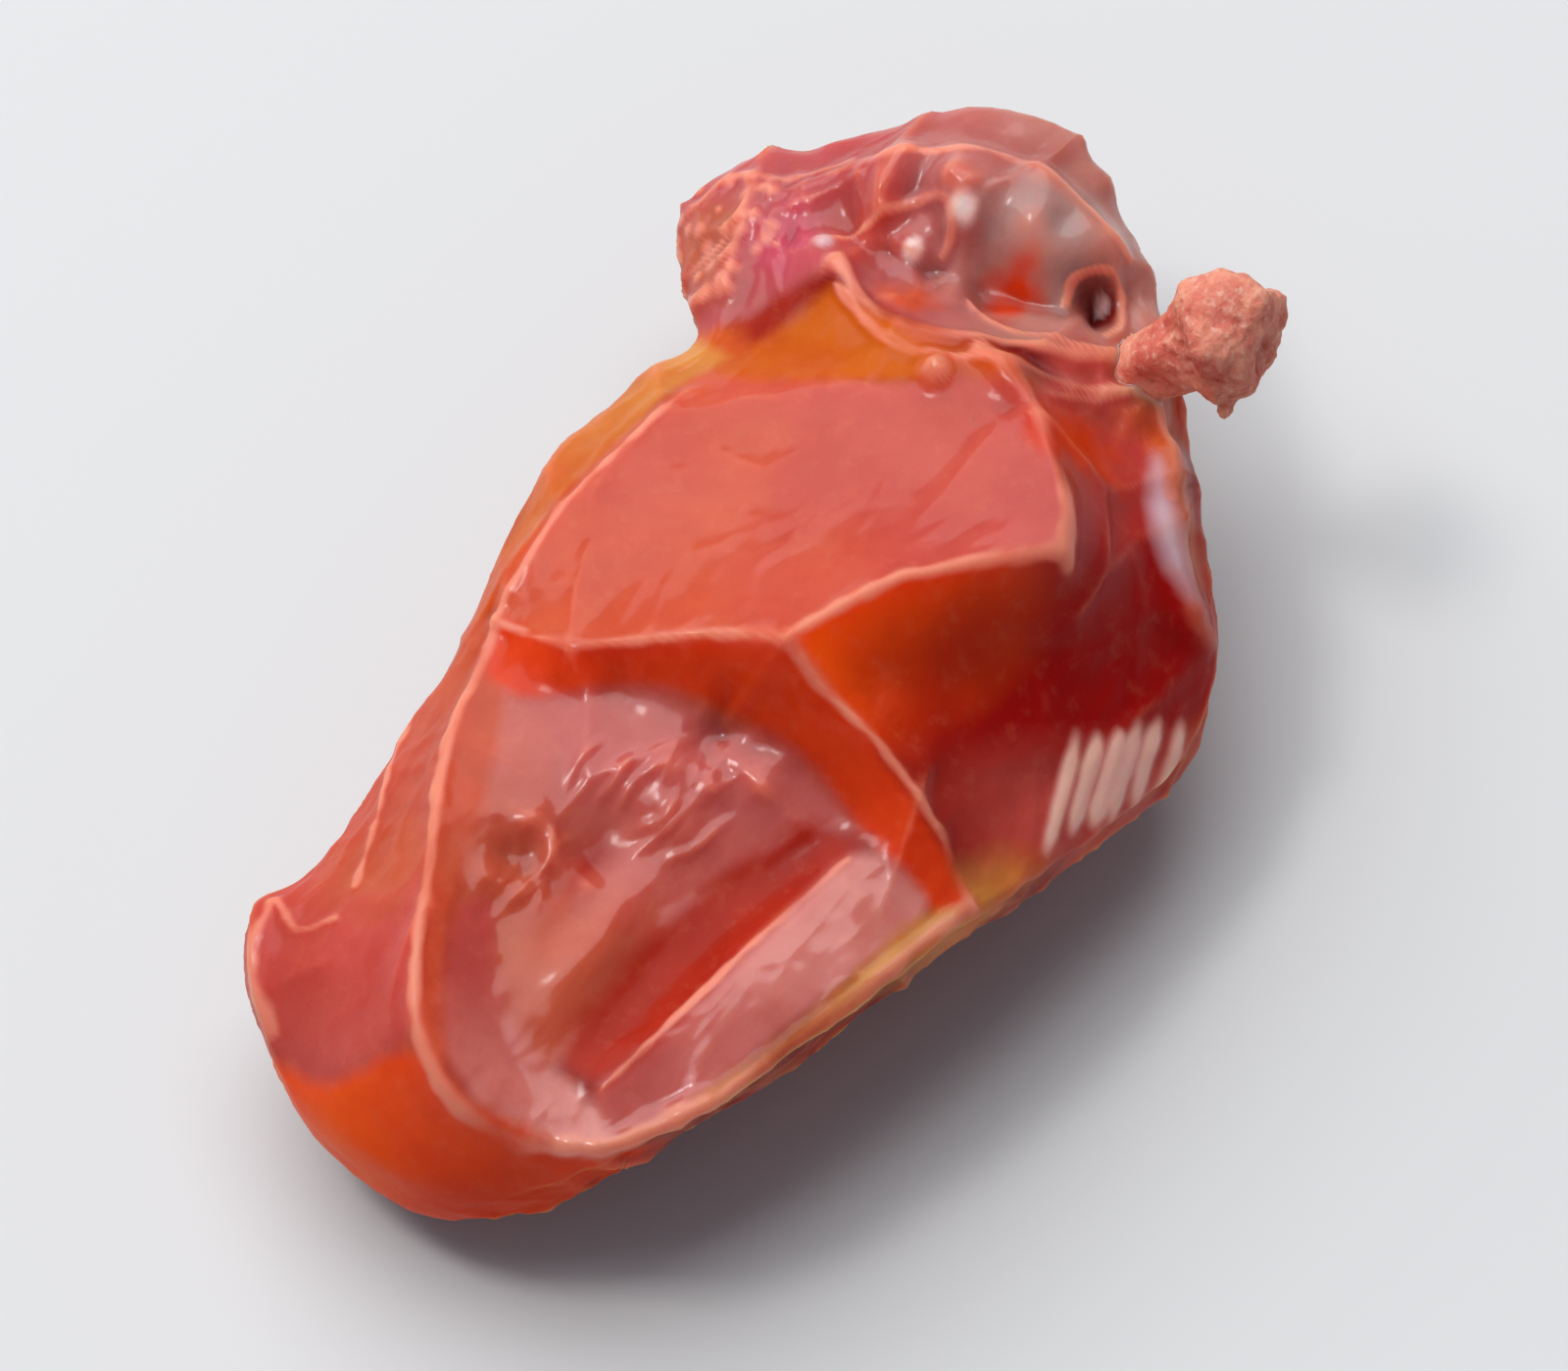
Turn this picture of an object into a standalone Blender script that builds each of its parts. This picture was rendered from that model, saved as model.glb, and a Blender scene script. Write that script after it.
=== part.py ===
"""Dried sea buckthorn berry: one shrunken berry with its stub of stalk, lying on a small flat spot.

Lengths below are millimetres. +Z is up, the stalk end points to +Y and the blossom tip to -Y.
"""

import math

import bmesh
import bpy
import numpy as np
from mathutils import Matrix, Vector

MM = 0.001

# How finely the two pieces are meshed
BERRY_SEGMENTS = 88
BERRY_RINGS = 56
STALK_SEGMENTS = 20
STALK_RINGS = 16

# The side wall of the berry: how full it is, and how far the skin has come in above and below the edge
WALL_FULLNESS = 2.5
END_FULLNESS = 5
SHOULDER_RISE = 0.45
BILGE_DROP = 1.15
LOWEST_BILGE = 0.25

# The edge of the berry as (x, y, height): the two tips, and the left and right side from tip to stalk
BLOSSOM_TIP = (-0.55, -4.5, 1.0)
STALK_TIP = (-0.4, 5.3, 2.5)
LEFT_EDGE = [
    (-1.25, -4.45, 1.0), (-1.95, -4.15, 1.1), (-2.45, -3.75, 1.3), (-2.65, -3.25, 1.45),
    (-2.45, -2.7, 1.5), (-2.4, -1.8, 1.55), (-2.4, -0.9, 1.75), (-2.56, 0.2, 2.0),
    (-2.54, 1.1, 2.1), (-2.36, 1.9, 2.1), (-2.2, 2.5, 2.0), (-2.6, 2.95, 1.75),
    (-3.0, 3.5, 1.65), (-2.8, 4.05, 1.8), (-2.1, 4.6, 2.1), (-1.2, 5.2, 2.4),
]
RIGHT_EDGE = [
    (0.0, -4.42, 1.1), (0.55, -4.15, 1.4), (1.0, -3.75, 1.8), (1.42, -3.1, 2.0),
    (1.72, -2.4, 2.05), (2.02, -1.6, 2.05), (2.3, -0.8, 2.0), (2.56, 0.1, 1.75),
    (2.78, 1.0, 1.5), (2.84, 1.75, 1.4), (2.6, 2.45, 1.5), (2.2, 3.0, 1.7),
    (1.8, 3.5, 1.9), (1.4, 4.0, 2.05), (0.95, 4.45, 2.2), (0.35, 4.9, 2.35),
]

# Ridges and hollows that hold the upper skin, each a line of (x, y, height)
UPPER_FOLDS = {
    "shelf edge": [(-2.1, -0.5, 2.35), (-1.35, -0.55, 2.8), (-0.5, -0.15, 3.05), (0.15, 0.05, 3.3)],
    "main ridge": [(0.15, 0.05, 3.3), (0.6, 0.75, 3.5), (0.9, 1.05, 3.55), (1.6, 1.7, 3.65)],
    "upper ridge": [
        (1.6, 1.7, 3.65), (1.5, 2.0, 3.65), (1.2, 2.35, 3.6), (0.55, 2.85, 3.4), (0.1, 3.0, 3.3),
    ],
    "panel top": [(-1.75, 2.1, 2.7), (-0.5, 2.4, 3.05), (0.45, 2.6, 3.2), (0.9, 2.65, 3.45)],
    "panel side": [
        (-1.85, 1.85, 2.72), (-2.0, 1.1, 2.75), (-2.12, 0.5, 2.75), (-2.15, -0.2, 2.6), (-2.1, -0.5, 2.35),
    ],
    "arch": [
        (0.15, 0.05, 3.3), (0.5, -0.1, 3.15), (1.15, -0.22, 3.0), (1.8, -0.42, 2.7), (2.25, -0.7, 2.5),
    ],
    "arch foot": [(-1.55, -1.0, 2.45), (-0.75, -0.55, 2.55), (0.35, -0.4, 2.6), (1.2, -0.65, 2.4)],
    "lobe rim": [
        (-2.1, -0.5, 2.35), (-1.85, -1.65, 2.52), (-1.3, -2.86, 2.6), (-0.75, -3.85, 2.6),
        (0.0, -4.15, 2.35), (0.65, -3.9, 2.15), (1.25, -3.35, 2.2), (1.65, -2.5, 2.32),
        (2.05, -1.3, 2.42), (2.25, -0.7, 2.5),
    ],
    "facet edge": [(0.62, -3.45, 2.22), (0.88, -2.5, 2.36), (1.08, -1.65, 2.41), (1.28, -0.95, 2.43)],
    "facet middle": [(1.0, -3.2, 2.22), (1.25, -2.4, 2.36), (1.52, -1.5, 2.41), (1.78, -0.95, 2.42)],
    "furrow": [(0.42, -3.2, 2.08), (0.6, -2.4, 2.13), (0.8, -1.5, 2.18), (1.05, -0.8, 2.33)],
    "furrow bank": [(0.2, -3.15, 2.1), (0.34, -2.4, 2.15), (0.52, -1.6, 2.2), (0.78, -0.8, 2.35)],
    "hump": [(-0.03, -1.75, 2.3), (0.0, -2.35, 2.38), (-0.03, -3.0, 2.22)],
    "left furrow": [(-0.42, -1.6, 2.24), (-0.45, -2.2, 2.22), (-0.42, -2.7, 2.22)],
    "dish foot": [(-1.0, -2.35, 2.35), (-0.35, -3.4, 2.15), (0.3, -3.65, 2.05), (0.85, -3.5, 2.12)],
    "plateau": [(-1.15, -1.2, 2.5), (0.05, -1.3, 2.45), (0.4, -1.05, 2.4)],
    "flank edge": [(-0.75, -3.85, 2.6), (-1.2, -4.2, 1.95), (-1.6, -4.4, 1.45)],
    "lip": [(-2.45, -3.4, 1.75), (-2.1, -3.6, 2.0), (-1.75, -3.6, 2.15)],
    "valley": [(0.75, 0.15, 2.95), (1.35, 0.7, 2.8), (1.9, 1.3, 2.68), (2.12, 1.85, 2.66)],
    "valley shoulder": [(2.1, 0.05, 2.35), (2.4, 0.7, 2.25), (2.55, 1.45, 2.2), (2.4, 2.0, 2.3)],
    "stalk fold": [(1.5, 3.45, 2.8), (1.7, 3.0, 2.7), (2.05, 2.6, 2.55), (2.4, 2.35, 2.35)],
    "stalk valley": [(1.05, 3.4, 2.7), (1.4, 2.85, 2.8), (1.75, 2.35, 2.8)],
    "cap border": [
        (-1.35, 3.3, 2.8), (-1.0, 3.1, 2.88), (-0.6, 3.0, 3.0), (-0.05, 3.1, 3.05), (0.45, 3.4, 3.0),
        (1.0, 3.85, 2.8),
    ],
    "amber facet": [(-1.15, 2.55, 2.8), (-0.65, 2.7, 2.9)],
    "crown": [(-1.9, 4.1, 2.6), (-1.1, 4.55, 2.95), (-0.45, 4.7, 3.1), (0.5, 4.5, 2.85)],
    "cap valley": [(-1.5, 3.65, 2.4), (-0.95, 3.7, 2.45), (-0.3, 3.75, 2.5), (0.2, 3.85, 2.5)],
    "dome": [(-0.6, 4.3, 2.98), (-0.1, 4.28, 3.0), (0.2, 4.5, 2.88)],
    "cap corner": [(-2.6, 3.2, 2.0), (-2.2, 3.4, 2.25), (-1.8, 3.45, 2.4)],
}

# Keels and hollows that hold the belly, and the spot it lies on, which is cut flat at height 0
BELLY_FOLDS = {
    "resting spot": [
        (-0.5, -0.7, -0.1), (0.5, -0.7, -0.1), (0.8, 0.4, -0.1), (0.5, 1.5, -0.1), (-0.5, 1.5, -0.1),
        (-0.8, 0.4, -0.1), (-0.5, -0.7, -0.1),
    ],
    "spot middle": [(0.0, -0.5, -0.1), (0.0, 1.3, -0.1)],
    "tip keel": [(-0.2, -0.8, 0.0), (-0.4, -2.6, 0.2), (-0.5, -4.0, 0.45)],
    "left keel": [(-0.8, 0.6, 0.0), (-1.6, 1.0, 0.3), (-2.2, 1.4, 0.8)],
    "left low keel": [(-0.6, -0.8, 0.0), (-1.4, -2.0, 0.25), (-2.1, -3.0, 0.55)],
    "right keel": [(0.8, 0.5, 0.0), (1.7, 0.9, 0.25), (2.4, 1.4, 0.55)],
    "right low keel": [(0.6, -0.8, 0.0), (1.1, -2.1, 0.3), (1.15, -3.1, 0.75)],
    "stalk keel": [(0.1, 1.6, 0.0), (-0.1, 2.9, 0.3), (-0.3, 4.3, 0.85)],
    "cap keel": [(-0.5, 1.6, 0.0), (-1.4, 2.6, 0.35), (-2.4, 3.5, 0.8)],
    "right cap keel": [(0.6, 1.6, 0.0), (1.15, 2.7, 0.4), (1.3, 3.7, 1.0)],
    "left hollow": [(-1.4, -0.8, 0.6), (-1.85, -0.2, 0.9)],
    "left cap hollow": [(-1.2, 1.6, 0.5), (-1.8, 2.2, 0.9)],
    "right hollow": [(1.6, -0.4, 0.7), (1.4, -1.3, 0.65)],
    "right cap hollow": [(1.3, 1.7, 0.45), (1.9, 2.2, 0.8)],
    "tip hollow": [(0.3, -2.4, 0.6), (0.35, -3.5, 0.9)],
    "left tip hollow": [(-1.1, -2.6, 0.55), (-1.3, -3.6, 0.8)],
    "cap hollow": [(-0.8, 2.8, 0.7), (-1.2, 3.7, 1.05)],
    "stalk hollow": [(0.5, 2.8, 0.7), (0.6, 3.7, 1.05)],
}
FILM_CELLS = (0.8, 0.4, 0.2, 0.1, 0.05)
FILM_HALF_X = 3.6
FILM_HALF_Y = 6.0
FILM_ROUNDS = 160
FILM_SOFTENING = 10
UPPER_SAG = 0.35
BELLY_SAG = 0.35

# Knobs and pits of the upper skin, each (x, y, radius, height)
KNOBS = [
    (-1.55, 3.4, 0.35, 0.22), (-2.2, 3.1, 0.4, 0.12), (-2.45, 3.6, 0.35, 0.15), (-0.95, 3.85, 0.22, 0.18),
    (-0.85, 4.35, 0.28, 0.2), (-1.45, 4.15, 0.3, 0.18), (0.3, 4.45, 0.24, 0.12), (0.5, 4.1, 0.15, -0.26),
    (-0.1, 4.25, 0.4, 0.26), (-0.1, 2.68, 0.14, 0.1), (-0.25, 3.85, 0.32, -0.1),
    (-1.95, 3.85, 0.25, 0.12),
    (-0.1, -0.6, 0.16, -0.1), (-0.25, -1.0, 0.16, 0.08), (0.4, -0.78, 0.15, 0.09),
    (0.05, -0.95, 0.12, 0.07),
]

# Narrow creases of the upper skin: (width, height, points)
CREASES = [
    (0.12, 0.10, [(-1.4, 4.45), (-1.3, 3.7)]),
    (0.12, 0.08, [(-0.7, 4.3), (-0.5, 3.6)]),
    (0.10, 0.06, [(2.2, 1.05), (2.45, 0.15)]),
    (0.10, 0.06, [(2.42, 1.4), (2.65, 0.55)]),
    (0.10, 0.06, [(2.65, 1.7), (2.85, 1.0)]),
    (0.14, 0.08, [(-0.95, -1.9), (-0.35, -2.1)]),
    (0.14, 0.07, [(-0.95, -2.4), (-0.45, -2.35)]),
    (0.14, 0.12, [(1.6, 3.35), (2.0, 2.75), (2.4, 2.35)]),
]

# Small sunk facets over the rest of the skin, which leave the smooth panels and the near end calm
FACET_COUNT = 70
FACET_DEPTH = 0.07
FACET_EDGE = 0.2
FACET_STRETCH = 1.5
FACET_SEED = 7
FACET_REACH = (3, 5, 3.6)
CALM_PLACES = [(-0.5, 1.0, 1.5), (1.4, -2.2, 1.1), (0.0, -3.2, 0.9), (1.5, 0.9, 0.9)]
NEAR_END = (-0.9, -4.6, 1.1)
CALM_SHARPNESS = 4

# The stub of stalk: its middle line, its radius from root to broken end, and the play in its socket
STALK_LINE = [(0.95, 3.75, 2.25), (1.25, 3.98, 2.65), (1.6, 4.16, 2.92), (1.95, 4.22, 2.98)]
STALK_RADII = [0.3, 0.26, 0.34, 0.54, 0.52]
STALK_END_FULLNESS = 4
STALK_LUMPS = 0.16
STALK_LUMP_LENGTHS = 1.4
STALK_LUMP_TWIST = 7
STALK_RIBS = 5
STALK_RIB_HEIGHT = 0.06
STALK_RIB_TWIST = 3
PITH_DEPTH = 0.14
PITH_RADIUS = 0.16
SOCKET_PLAY = 0.03


def between(a, b, c, d, t):
    """The point a share t of the way from b to c on a smooth curve through a, b, c and d."""
    squared = a - 2.5 * b + 2 * c - d / 2
    cubed = 1.5 * b - 1.5 * c + (d - a) / 2
    return b + t * ((c - a) / 2 + t * (squared + t * cubed))


def smooth_line(points, step):
    """Points about a step apart on a smooth curve through the given ones."""
    given = np.array(points, float)
    given = np.vstack([2 * given[0] - given[1], given, 2 * given[-1] - given[-2]])
    found = []
    for a, b, c, d in zip(given, given[1:], given[2:], given[3:]):
        count = max(2, math.ceil(np.linalg.norm(c - b) / step))
        found.append(between(a, b, c, d, np.arange(count)[:, None] / count))
    return np.vstack([*found, given[-2:-1]])


def on_edge(station):
    """Points of the berry's edge, a closed loop up its left side and down its right, at these stations."""
    loop = np.array([BLOSSOM_TIP, *LEFT_EDGE, STALK_TIP, *reversed(RIGHT_EDGE)])
    low = np.floor(station).astype(int)
    a, b, c, d = (loop[(low + shift) % len(loop)] for shift in (-1, 0, 1, 2))
    return between(a, b, c, d, (station - low)[:, None])


def neighbours(heights):
    """The mean height of each grid point's four neighbours."""
    wide = np.pad(heights, 1, mode="edge")
    return (wide[:-2, 1:-1] + wide[2:, 1:-1] + wide[1:-1, :-2] + wide[1:-1, 2:]) / 4


def height_at(heights, x, y):
    """The film's height above these places, read between its grid points."""
    rows, columns = heights.shape
    across = np.clip((x + FILM_HALF_X) / (2 * FILM_HALF_X), 0, 1) * (columns - 1)
    along = np.clip((y + FILM_HALF_Y) / (2 * FILM_HALF_Y), 0, 1) * (rows - 1)
    column = np.minimum(across.astype(int), columns - 2)
    row = np.minimum(along.astype(int), rows - 2)
    u = across - column
    v = along - row
    near = heights[row, column] * (1 - u) + heights[row, column + 1] * u
    far = heights[row + 1, column] * (1 - u) + heights[row + 1, column + 1] * u
    return near * (1 - v) + far * v


def film(lines, sag):
    """Heights on a square grid of a film drawn tight over the lines, and sucked down between them."""
    heights = None
    for cell in FILM_CELLS:
        columns = round(2 * FILM_HALF_X / cell) + 1
        rows = round(2 * FILM_HALF_Y / cell) + 1
        total = np.zeros((rows, columns))
        count = np.zeros((rows, columns))
        for line in lines:
            points = smooth_line(line, cell / 3)
            column = np.rint((points[:, 0] + FILM_HALF_X) / cell).astype(int)
            row = np.rint((points[:, 1] + FILM_HALF_Y) / cell).astype(int)
            np.add.at(total, (row, column), points[:, 2])
            np.add.at(count, (row, column), 1)
        held = count > 0
        target = total / np.maximum(count, 1)
        if heights is None:
            heights = np.full((rows, columns), target[held].mean())
        else:
            x = np.linspace(-FILM_HALF_X, FILM_HALF_X, columns)
            y = np.linspace(-FILM_HALF_Y, FILM_HALF_Y, rows)
            heights = height_at(heights, *np.meshgrid(x, y))
        for _ in range(FILM_ROUNDS):
            heights = np.where(held, target, neighbours(heights) - sag * cell * cell / 4)
    for _ in range(FILM_SOFTENING):
        heights = neighbours(heights)
    return heights


def skin_places(polar, turn):
    """Where the points of a round ball, given by their two angles, come to lie on the shrunken skin."""
    stations = len(LEFT_EDGE) + 1
    station = stations * polar / math.pi
    share = ((1 + np.cos(turn)) / 2)[:, None]
    middle = on_edge(station) * (1 - share) + on_edge(2 * stations - station) * share
    x, y, edge_height = middle.T
    edge = on_edge(np.linspace(0, 2 * stations, 12 * stations))
    shoulder = edge + [0, 0, SHOULDER_RISE]
    bilge = edge - [0, 0, BILGE_DROP]
    bilge[:, 2] = np.maximum(bilge[:, 2], LOWEST_BILGE)
    upper = height_at(film([*UPPER_FOLDS.values(), shoulder], UPPER_SAG), x, y)
    belly = height_at(film([*BELLY_FOLDS.values(), bilge], -BELLY_SAG), x, y)
    skin = np.where(np.sin(turn) > 0, upper, belly)
    wall = (1 - np.abs(np.cos(turn)) ** WALL_FULLNESS) ** (1 / WALL_FULLNESS)
    end = (1 - np.abs(np.cos(polar)) ** END_FULLNESS) ** (1 / END_FULLNESS)
    return np.column_stack([x, y, edge_height + (skin - edge_height) * wall * end])


def plan_distance(places, points):
    """How far each place is, seen from above, from a line through the points."""
    line = smooth_line(points, 0.1)
    return np.min([np.hypot(places[:, 0] - x, places[:, 1] - y) for x, y in line], axis=0)


def facets(places):
    """Small sunk facets, each nearest its own scattered middle, with sharp edges between them."""
    random = np.random.default_rng(FACET_SEED)
    reach = np.array(FACET_REACH)
    middles = random.uniform(reach * (-1, -1, 0), reach, (FACET_COUNT, 3))
    squeeze = np.array([1, 1 / FACET_STRETCH, 1])
    distance = np.linalg.norm((places[:, None] - middles) * squeeze, axis=2)
    nearest = np.partition(distance, 1, axis=1)[:, :2]
    return -FACET_DEPTH * (1 - np.exp(-(nearest[:, 1] - nearest[:, 0]) / FACET_EDGE))


def near_spot(places, spot):
    """1 within a radius of the spot seen from above, fading to 0 away from it."""
    x, y, radius = spot
    away = np.hypot(places[:, 0] - x, places[:, 1] - y) / radius
    return np.exp(-(away**CALM_SHARPNESS))


def relief(places, upper):
    """How far the skin stands out of its main form. Upper marks the places on the upper skin."""
    calm = near_spot(places, NEAR_END)
    for spot in CALM_PLACES:
        calm = np.maximum(calm, near_spot(places, spot) * upper)
    height = facets(places) * (1 - calm)
    for x, y, radius, tall in KNOBS:
        height += upper * tall * np.exp(-((places[:, 0] - x) ** 2 + (places[:, 1] - y) ** 2) / radius**2)
    for width, tall, points in CREASES:
        height += upper * tall * np.exp(-((plan_distance(places, points) / width) ** 2))
    return height


def ball(segments, rings):
    """A round ball, and its points' angles from its first pole and round its axis."""
    bm = bmesh.new()
    bmesh.ops.create_uvsphere(bm, u_segments=segments, v_segments=rings, radius=1)
    points = np.array([vertex.co for vertex in bm.verts])
    return bm, np.arccos(np.clip(points[:, 2], -1, 1)), np.arctan2(points[:, 1], points[:, 0])


def move_points(bm, places):
    """Puts the mesh's points at these places in millimetres and gives its normals there."""
    for vertex, place in zip(bm.verts, places):
        vertex.co = Vector(place) * MM
    bm.normal_update()
    return np.array([vertex.normal for vertex in bm.verts])


def material(name, colour, roughness):
    made = bpy.data.materials.new(name)
    made.use_nodes = True
    shader = made.node_tree.nodes["Principled BSDF"]
    shader.inputs["Base Color"].default_value = (*colour, 1)
    shader.inputs["Roughness"].default_value = roughness
    shader.inputs["Metallic"].default_value = 0
    return made


def make_object(name, bm, collection, finish):
    mesh = bpy.data.meshes.new(name)
    bm.to_mesh(mesh)
    bm.free()
    mesh.shade_smooth()
    mesh.materials.append(finish)
    made = bpy.data.objects.new(name, mesh)
    collection.objects.link(made)
    return made


def berry_mesh():
    """A ball whose poles are the berry's two tips, moved onto the skin and raised by its relief."""
    bm, polar, turn = ball(BERRY_SEGMENTS, BERRY_RINGS)
    places = skin_places(polar, turn)
    normals = move_points(bm, places)
    places += normals * relief(places, np.sin(turn) > 0)[:, None]
    places[:, 2] = np.maximum(places[:, 2], 0)
    move_points(bm, places)
    return bm


def stalk_mesh(extra):
    """The stub of stalk, lumpy and ribbed with a hollow in its broken end, and extra thick all over."""
    bm, polar, turn = ball(STALK_SEGMENTS, STALK_RINGS)
    share = (1 - np.cos(polar)) / 2
    line = smooth_line(STALK_LINE, 0.02)
    spots = share * (len(line) - 1)
    middle = np.column_stack([np.interp(spots, np.arange(len(line)), line[:, k]) for k in range(3)])
    slopes = np.gradient(line, axis=0)
    along = np.column_stack([np.interp(spots, np.arange(len(line)), slopes[:, k]) for k in range(3)])
    along /= np.linalg.norm(along, axis=1)[:, None]
    side = np.cross(along, (0, 0, 1))
    side /= np.linalg.norm(side, axis=1)[:, None]
    lift = np.cross(side, along)
    radius = np.interp(share, np.linspace(0, 1, len(STALK_RADII)), STALK_RADII)
    radius *= (1 - np.abs(2 * share - 1) ** STALK_END_FULLNESS) ** (1 / STALK_END_FULLNESS)
    radius *= 1 + STALK_RIB_HEIGHT * np.cos(STALK_RIBS * turn + STALK_RIB_TWIST * share)
    waves = np.sin(2 * math.pi * STALK_LUMP_LENGTHS * share + 2 * np.sin(turn))
    radius *= 1 + STALK_LUMPS * waves * np.sin(2 * turn + STALK_LUMP_TWIST * share)
    around = np.cos(turn)[:, None] * side + np.sin(turn)[:, None] * lift
    pith = np.where(share > 0.5, PITH_DEPTH * np.exp(-((radius / PITH_RADIUS) ** 2)), 0)
    places = middle + radius[:, None] * around - pith[:, None] * along
    normals = move_points(bm, places)
    move_points(bm, places + normals * extra)
    return bm


def centre(pieces, others):
    """Moves all of them so that the origin is under the middle of the box that holds the pieces."""
    corners = np.array([vertex.co for piece in pieces for vertex in piece.data.vertices])
    middle = (corners.min(axis=0) + corners.max(axis=0)) / 2
    for piece in [*pieces, *others]:
        piece.data.transform(Matrix.Translation((-middle[0], -middle[1], 0)))


def main():
    for thing in list(bpy.data.objects):
        bpy.data.objects.remove(thing, do_unlink=True)
    parts = bpy.data.collections.new("dried_sea_buckthorn_berry")
    cutters = bpy.data.collections.new("cutters")
    bpy.context.scene.collection.children.link(parts)
    bpy.context.scene.collection.children.link(cutters)
    skin = material("berry skin", (0.52, 0.07, 0.03), 0.35)
    bark = material("stalk bark", (0.50, 0.27, 0.17), 0.75)
    berry = make_object("berry", berry_mesh(), parts, skin)
    stalk = make_object("stalk", stalk_mesh(0), parts, bark)
    socket = make_object("stalk socket", stalk_mesh(SOCKET_PLAY), cutters, bark)
    socket.hide_render = True
    socket.display_type = "WIRE"
    centre([berry, stalk], [socket])
    cut = berry.modifiers.new("stalk socket", "BOOLEAN")
    cut.operation = "DIFFERENCE"
    cut.object = socket


main()
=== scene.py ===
# %% [markdown]
# # A dried sea buckthorn berry
#
# This script dresses one dried berry. The real thing is a bag of thin, tough skin that has shrunk onto a
# little pulp and one seed. As the pulp dried, the skin sank into flat panels between sharp folds, so it
# looks like crumpled amber glass: glossy, amber where it is thin, and deep red where it is thick.
#
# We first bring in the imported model, which fixes the size and place of everything, and note its box. We
# then work in millimetres, and come back to Blender's metres wherever MM multiplies a length.

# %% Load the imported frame
import math

import bmesh
import bpy
import numpy as np
from mathutils import Matrix, Vector, kdtree, noise


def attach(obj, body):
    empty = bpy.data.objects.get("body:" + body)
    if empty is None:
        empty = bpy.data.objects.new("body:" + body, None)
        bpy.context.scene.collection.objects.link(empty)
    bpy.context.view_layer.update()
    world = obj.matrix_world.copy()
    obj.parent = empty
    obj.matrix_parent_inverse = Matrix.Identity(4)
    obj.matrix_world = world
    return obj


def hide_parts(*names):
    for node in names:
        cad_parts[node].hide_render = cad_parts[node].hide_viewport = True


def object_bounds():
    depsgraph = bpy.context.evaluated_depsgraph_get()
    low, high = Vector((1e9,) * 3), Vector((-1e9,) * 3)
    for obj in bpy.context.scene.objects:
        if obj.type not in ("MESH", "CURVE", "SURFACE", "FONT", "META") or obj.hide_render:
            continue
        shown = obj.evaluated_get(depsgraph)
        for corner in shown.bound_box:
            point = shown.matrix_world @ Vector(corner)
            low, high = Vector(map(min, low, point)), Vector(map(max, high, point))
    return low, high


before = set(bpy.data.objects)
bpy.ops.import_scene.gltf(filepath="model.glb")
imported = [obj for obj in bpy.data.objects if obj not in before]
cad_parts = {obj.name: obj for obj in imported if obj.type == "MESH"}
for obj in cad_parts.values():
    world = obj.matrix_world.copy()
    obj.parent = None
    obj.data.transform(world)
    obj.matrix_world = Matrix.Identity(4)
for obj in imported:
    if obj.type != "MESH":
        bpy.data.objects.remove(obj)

MM = 0.001
cad_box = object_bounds()
print("packed nodes:", sorted(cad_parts))
print("packed box in mm:", [[round(value / MM, 2) for value in corner] for corner in cad_box])

# %% [markdown]
# ## Camera
#
# The berry is seen from above at a slant, and turned so that it lies across the picture. A long lens stands
# well back, because a lens held close to something so small would blow up its near end. The turn and the
# elevation are in degrees, and the picture's width is measured where the camera looks.

# %% Place the camera
CAMERA_TURN = 31
CAMERA_ELEVATION = 62
CAMERA_DISTANCE = 140
PICTURE_WIDTH = 12.0
LOOK_AT = Vector((0, 0, 1.7)) * MM


def direction(turn, elevation):
    """The unit vector towards a place this far round from the front and this far up, both in degrees."""
    turn = math.radians(turn)
    elevation = math.radians(elevation)
    flat = math.cos(elevation)
    return Vector((math.sin(turn) * flat, -math.cos(turn) * flat, math.sin(elevation)))


def aim(thing, place, target):
    """Puts a lamp or a camera at a place and points it at a target."""
    thing.location = place
    thing.rotation_euler = (target - place).to_track_quat("-Z", "Y").to_euler()


camera = bpy.data.objects.new("camera", bpy.data.cameras.new("camera"))
bpy.context.scene.collection.objects.link(camera)
camera.data.clip_start = 10 * MM
camera.data.lens = camera.data.sensor_width * CAMERA_DISTANCE / PICTURE_WIDTH
aim(camera, LOOK_AT + direction(CAMERA_TURN, CAMERA_ELEVATION) * CAMERA_DISTANCE * MM, LOOK_AT)
bpy.context.scene.camera = camera
print("lens in mm:", round(camera.data.lens))

# %% [markdown]
# ## The outline of the berry
#
# Seen from above the berry is a lopsided oval with a waist below its cap. We give that outline as places
# in millimetres, (x, y, height), up the left side and up the right side, and draw a smooth closed curve
# through them. The same places shape the solid model, so that this finer skin sits where the solid does.

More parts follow.
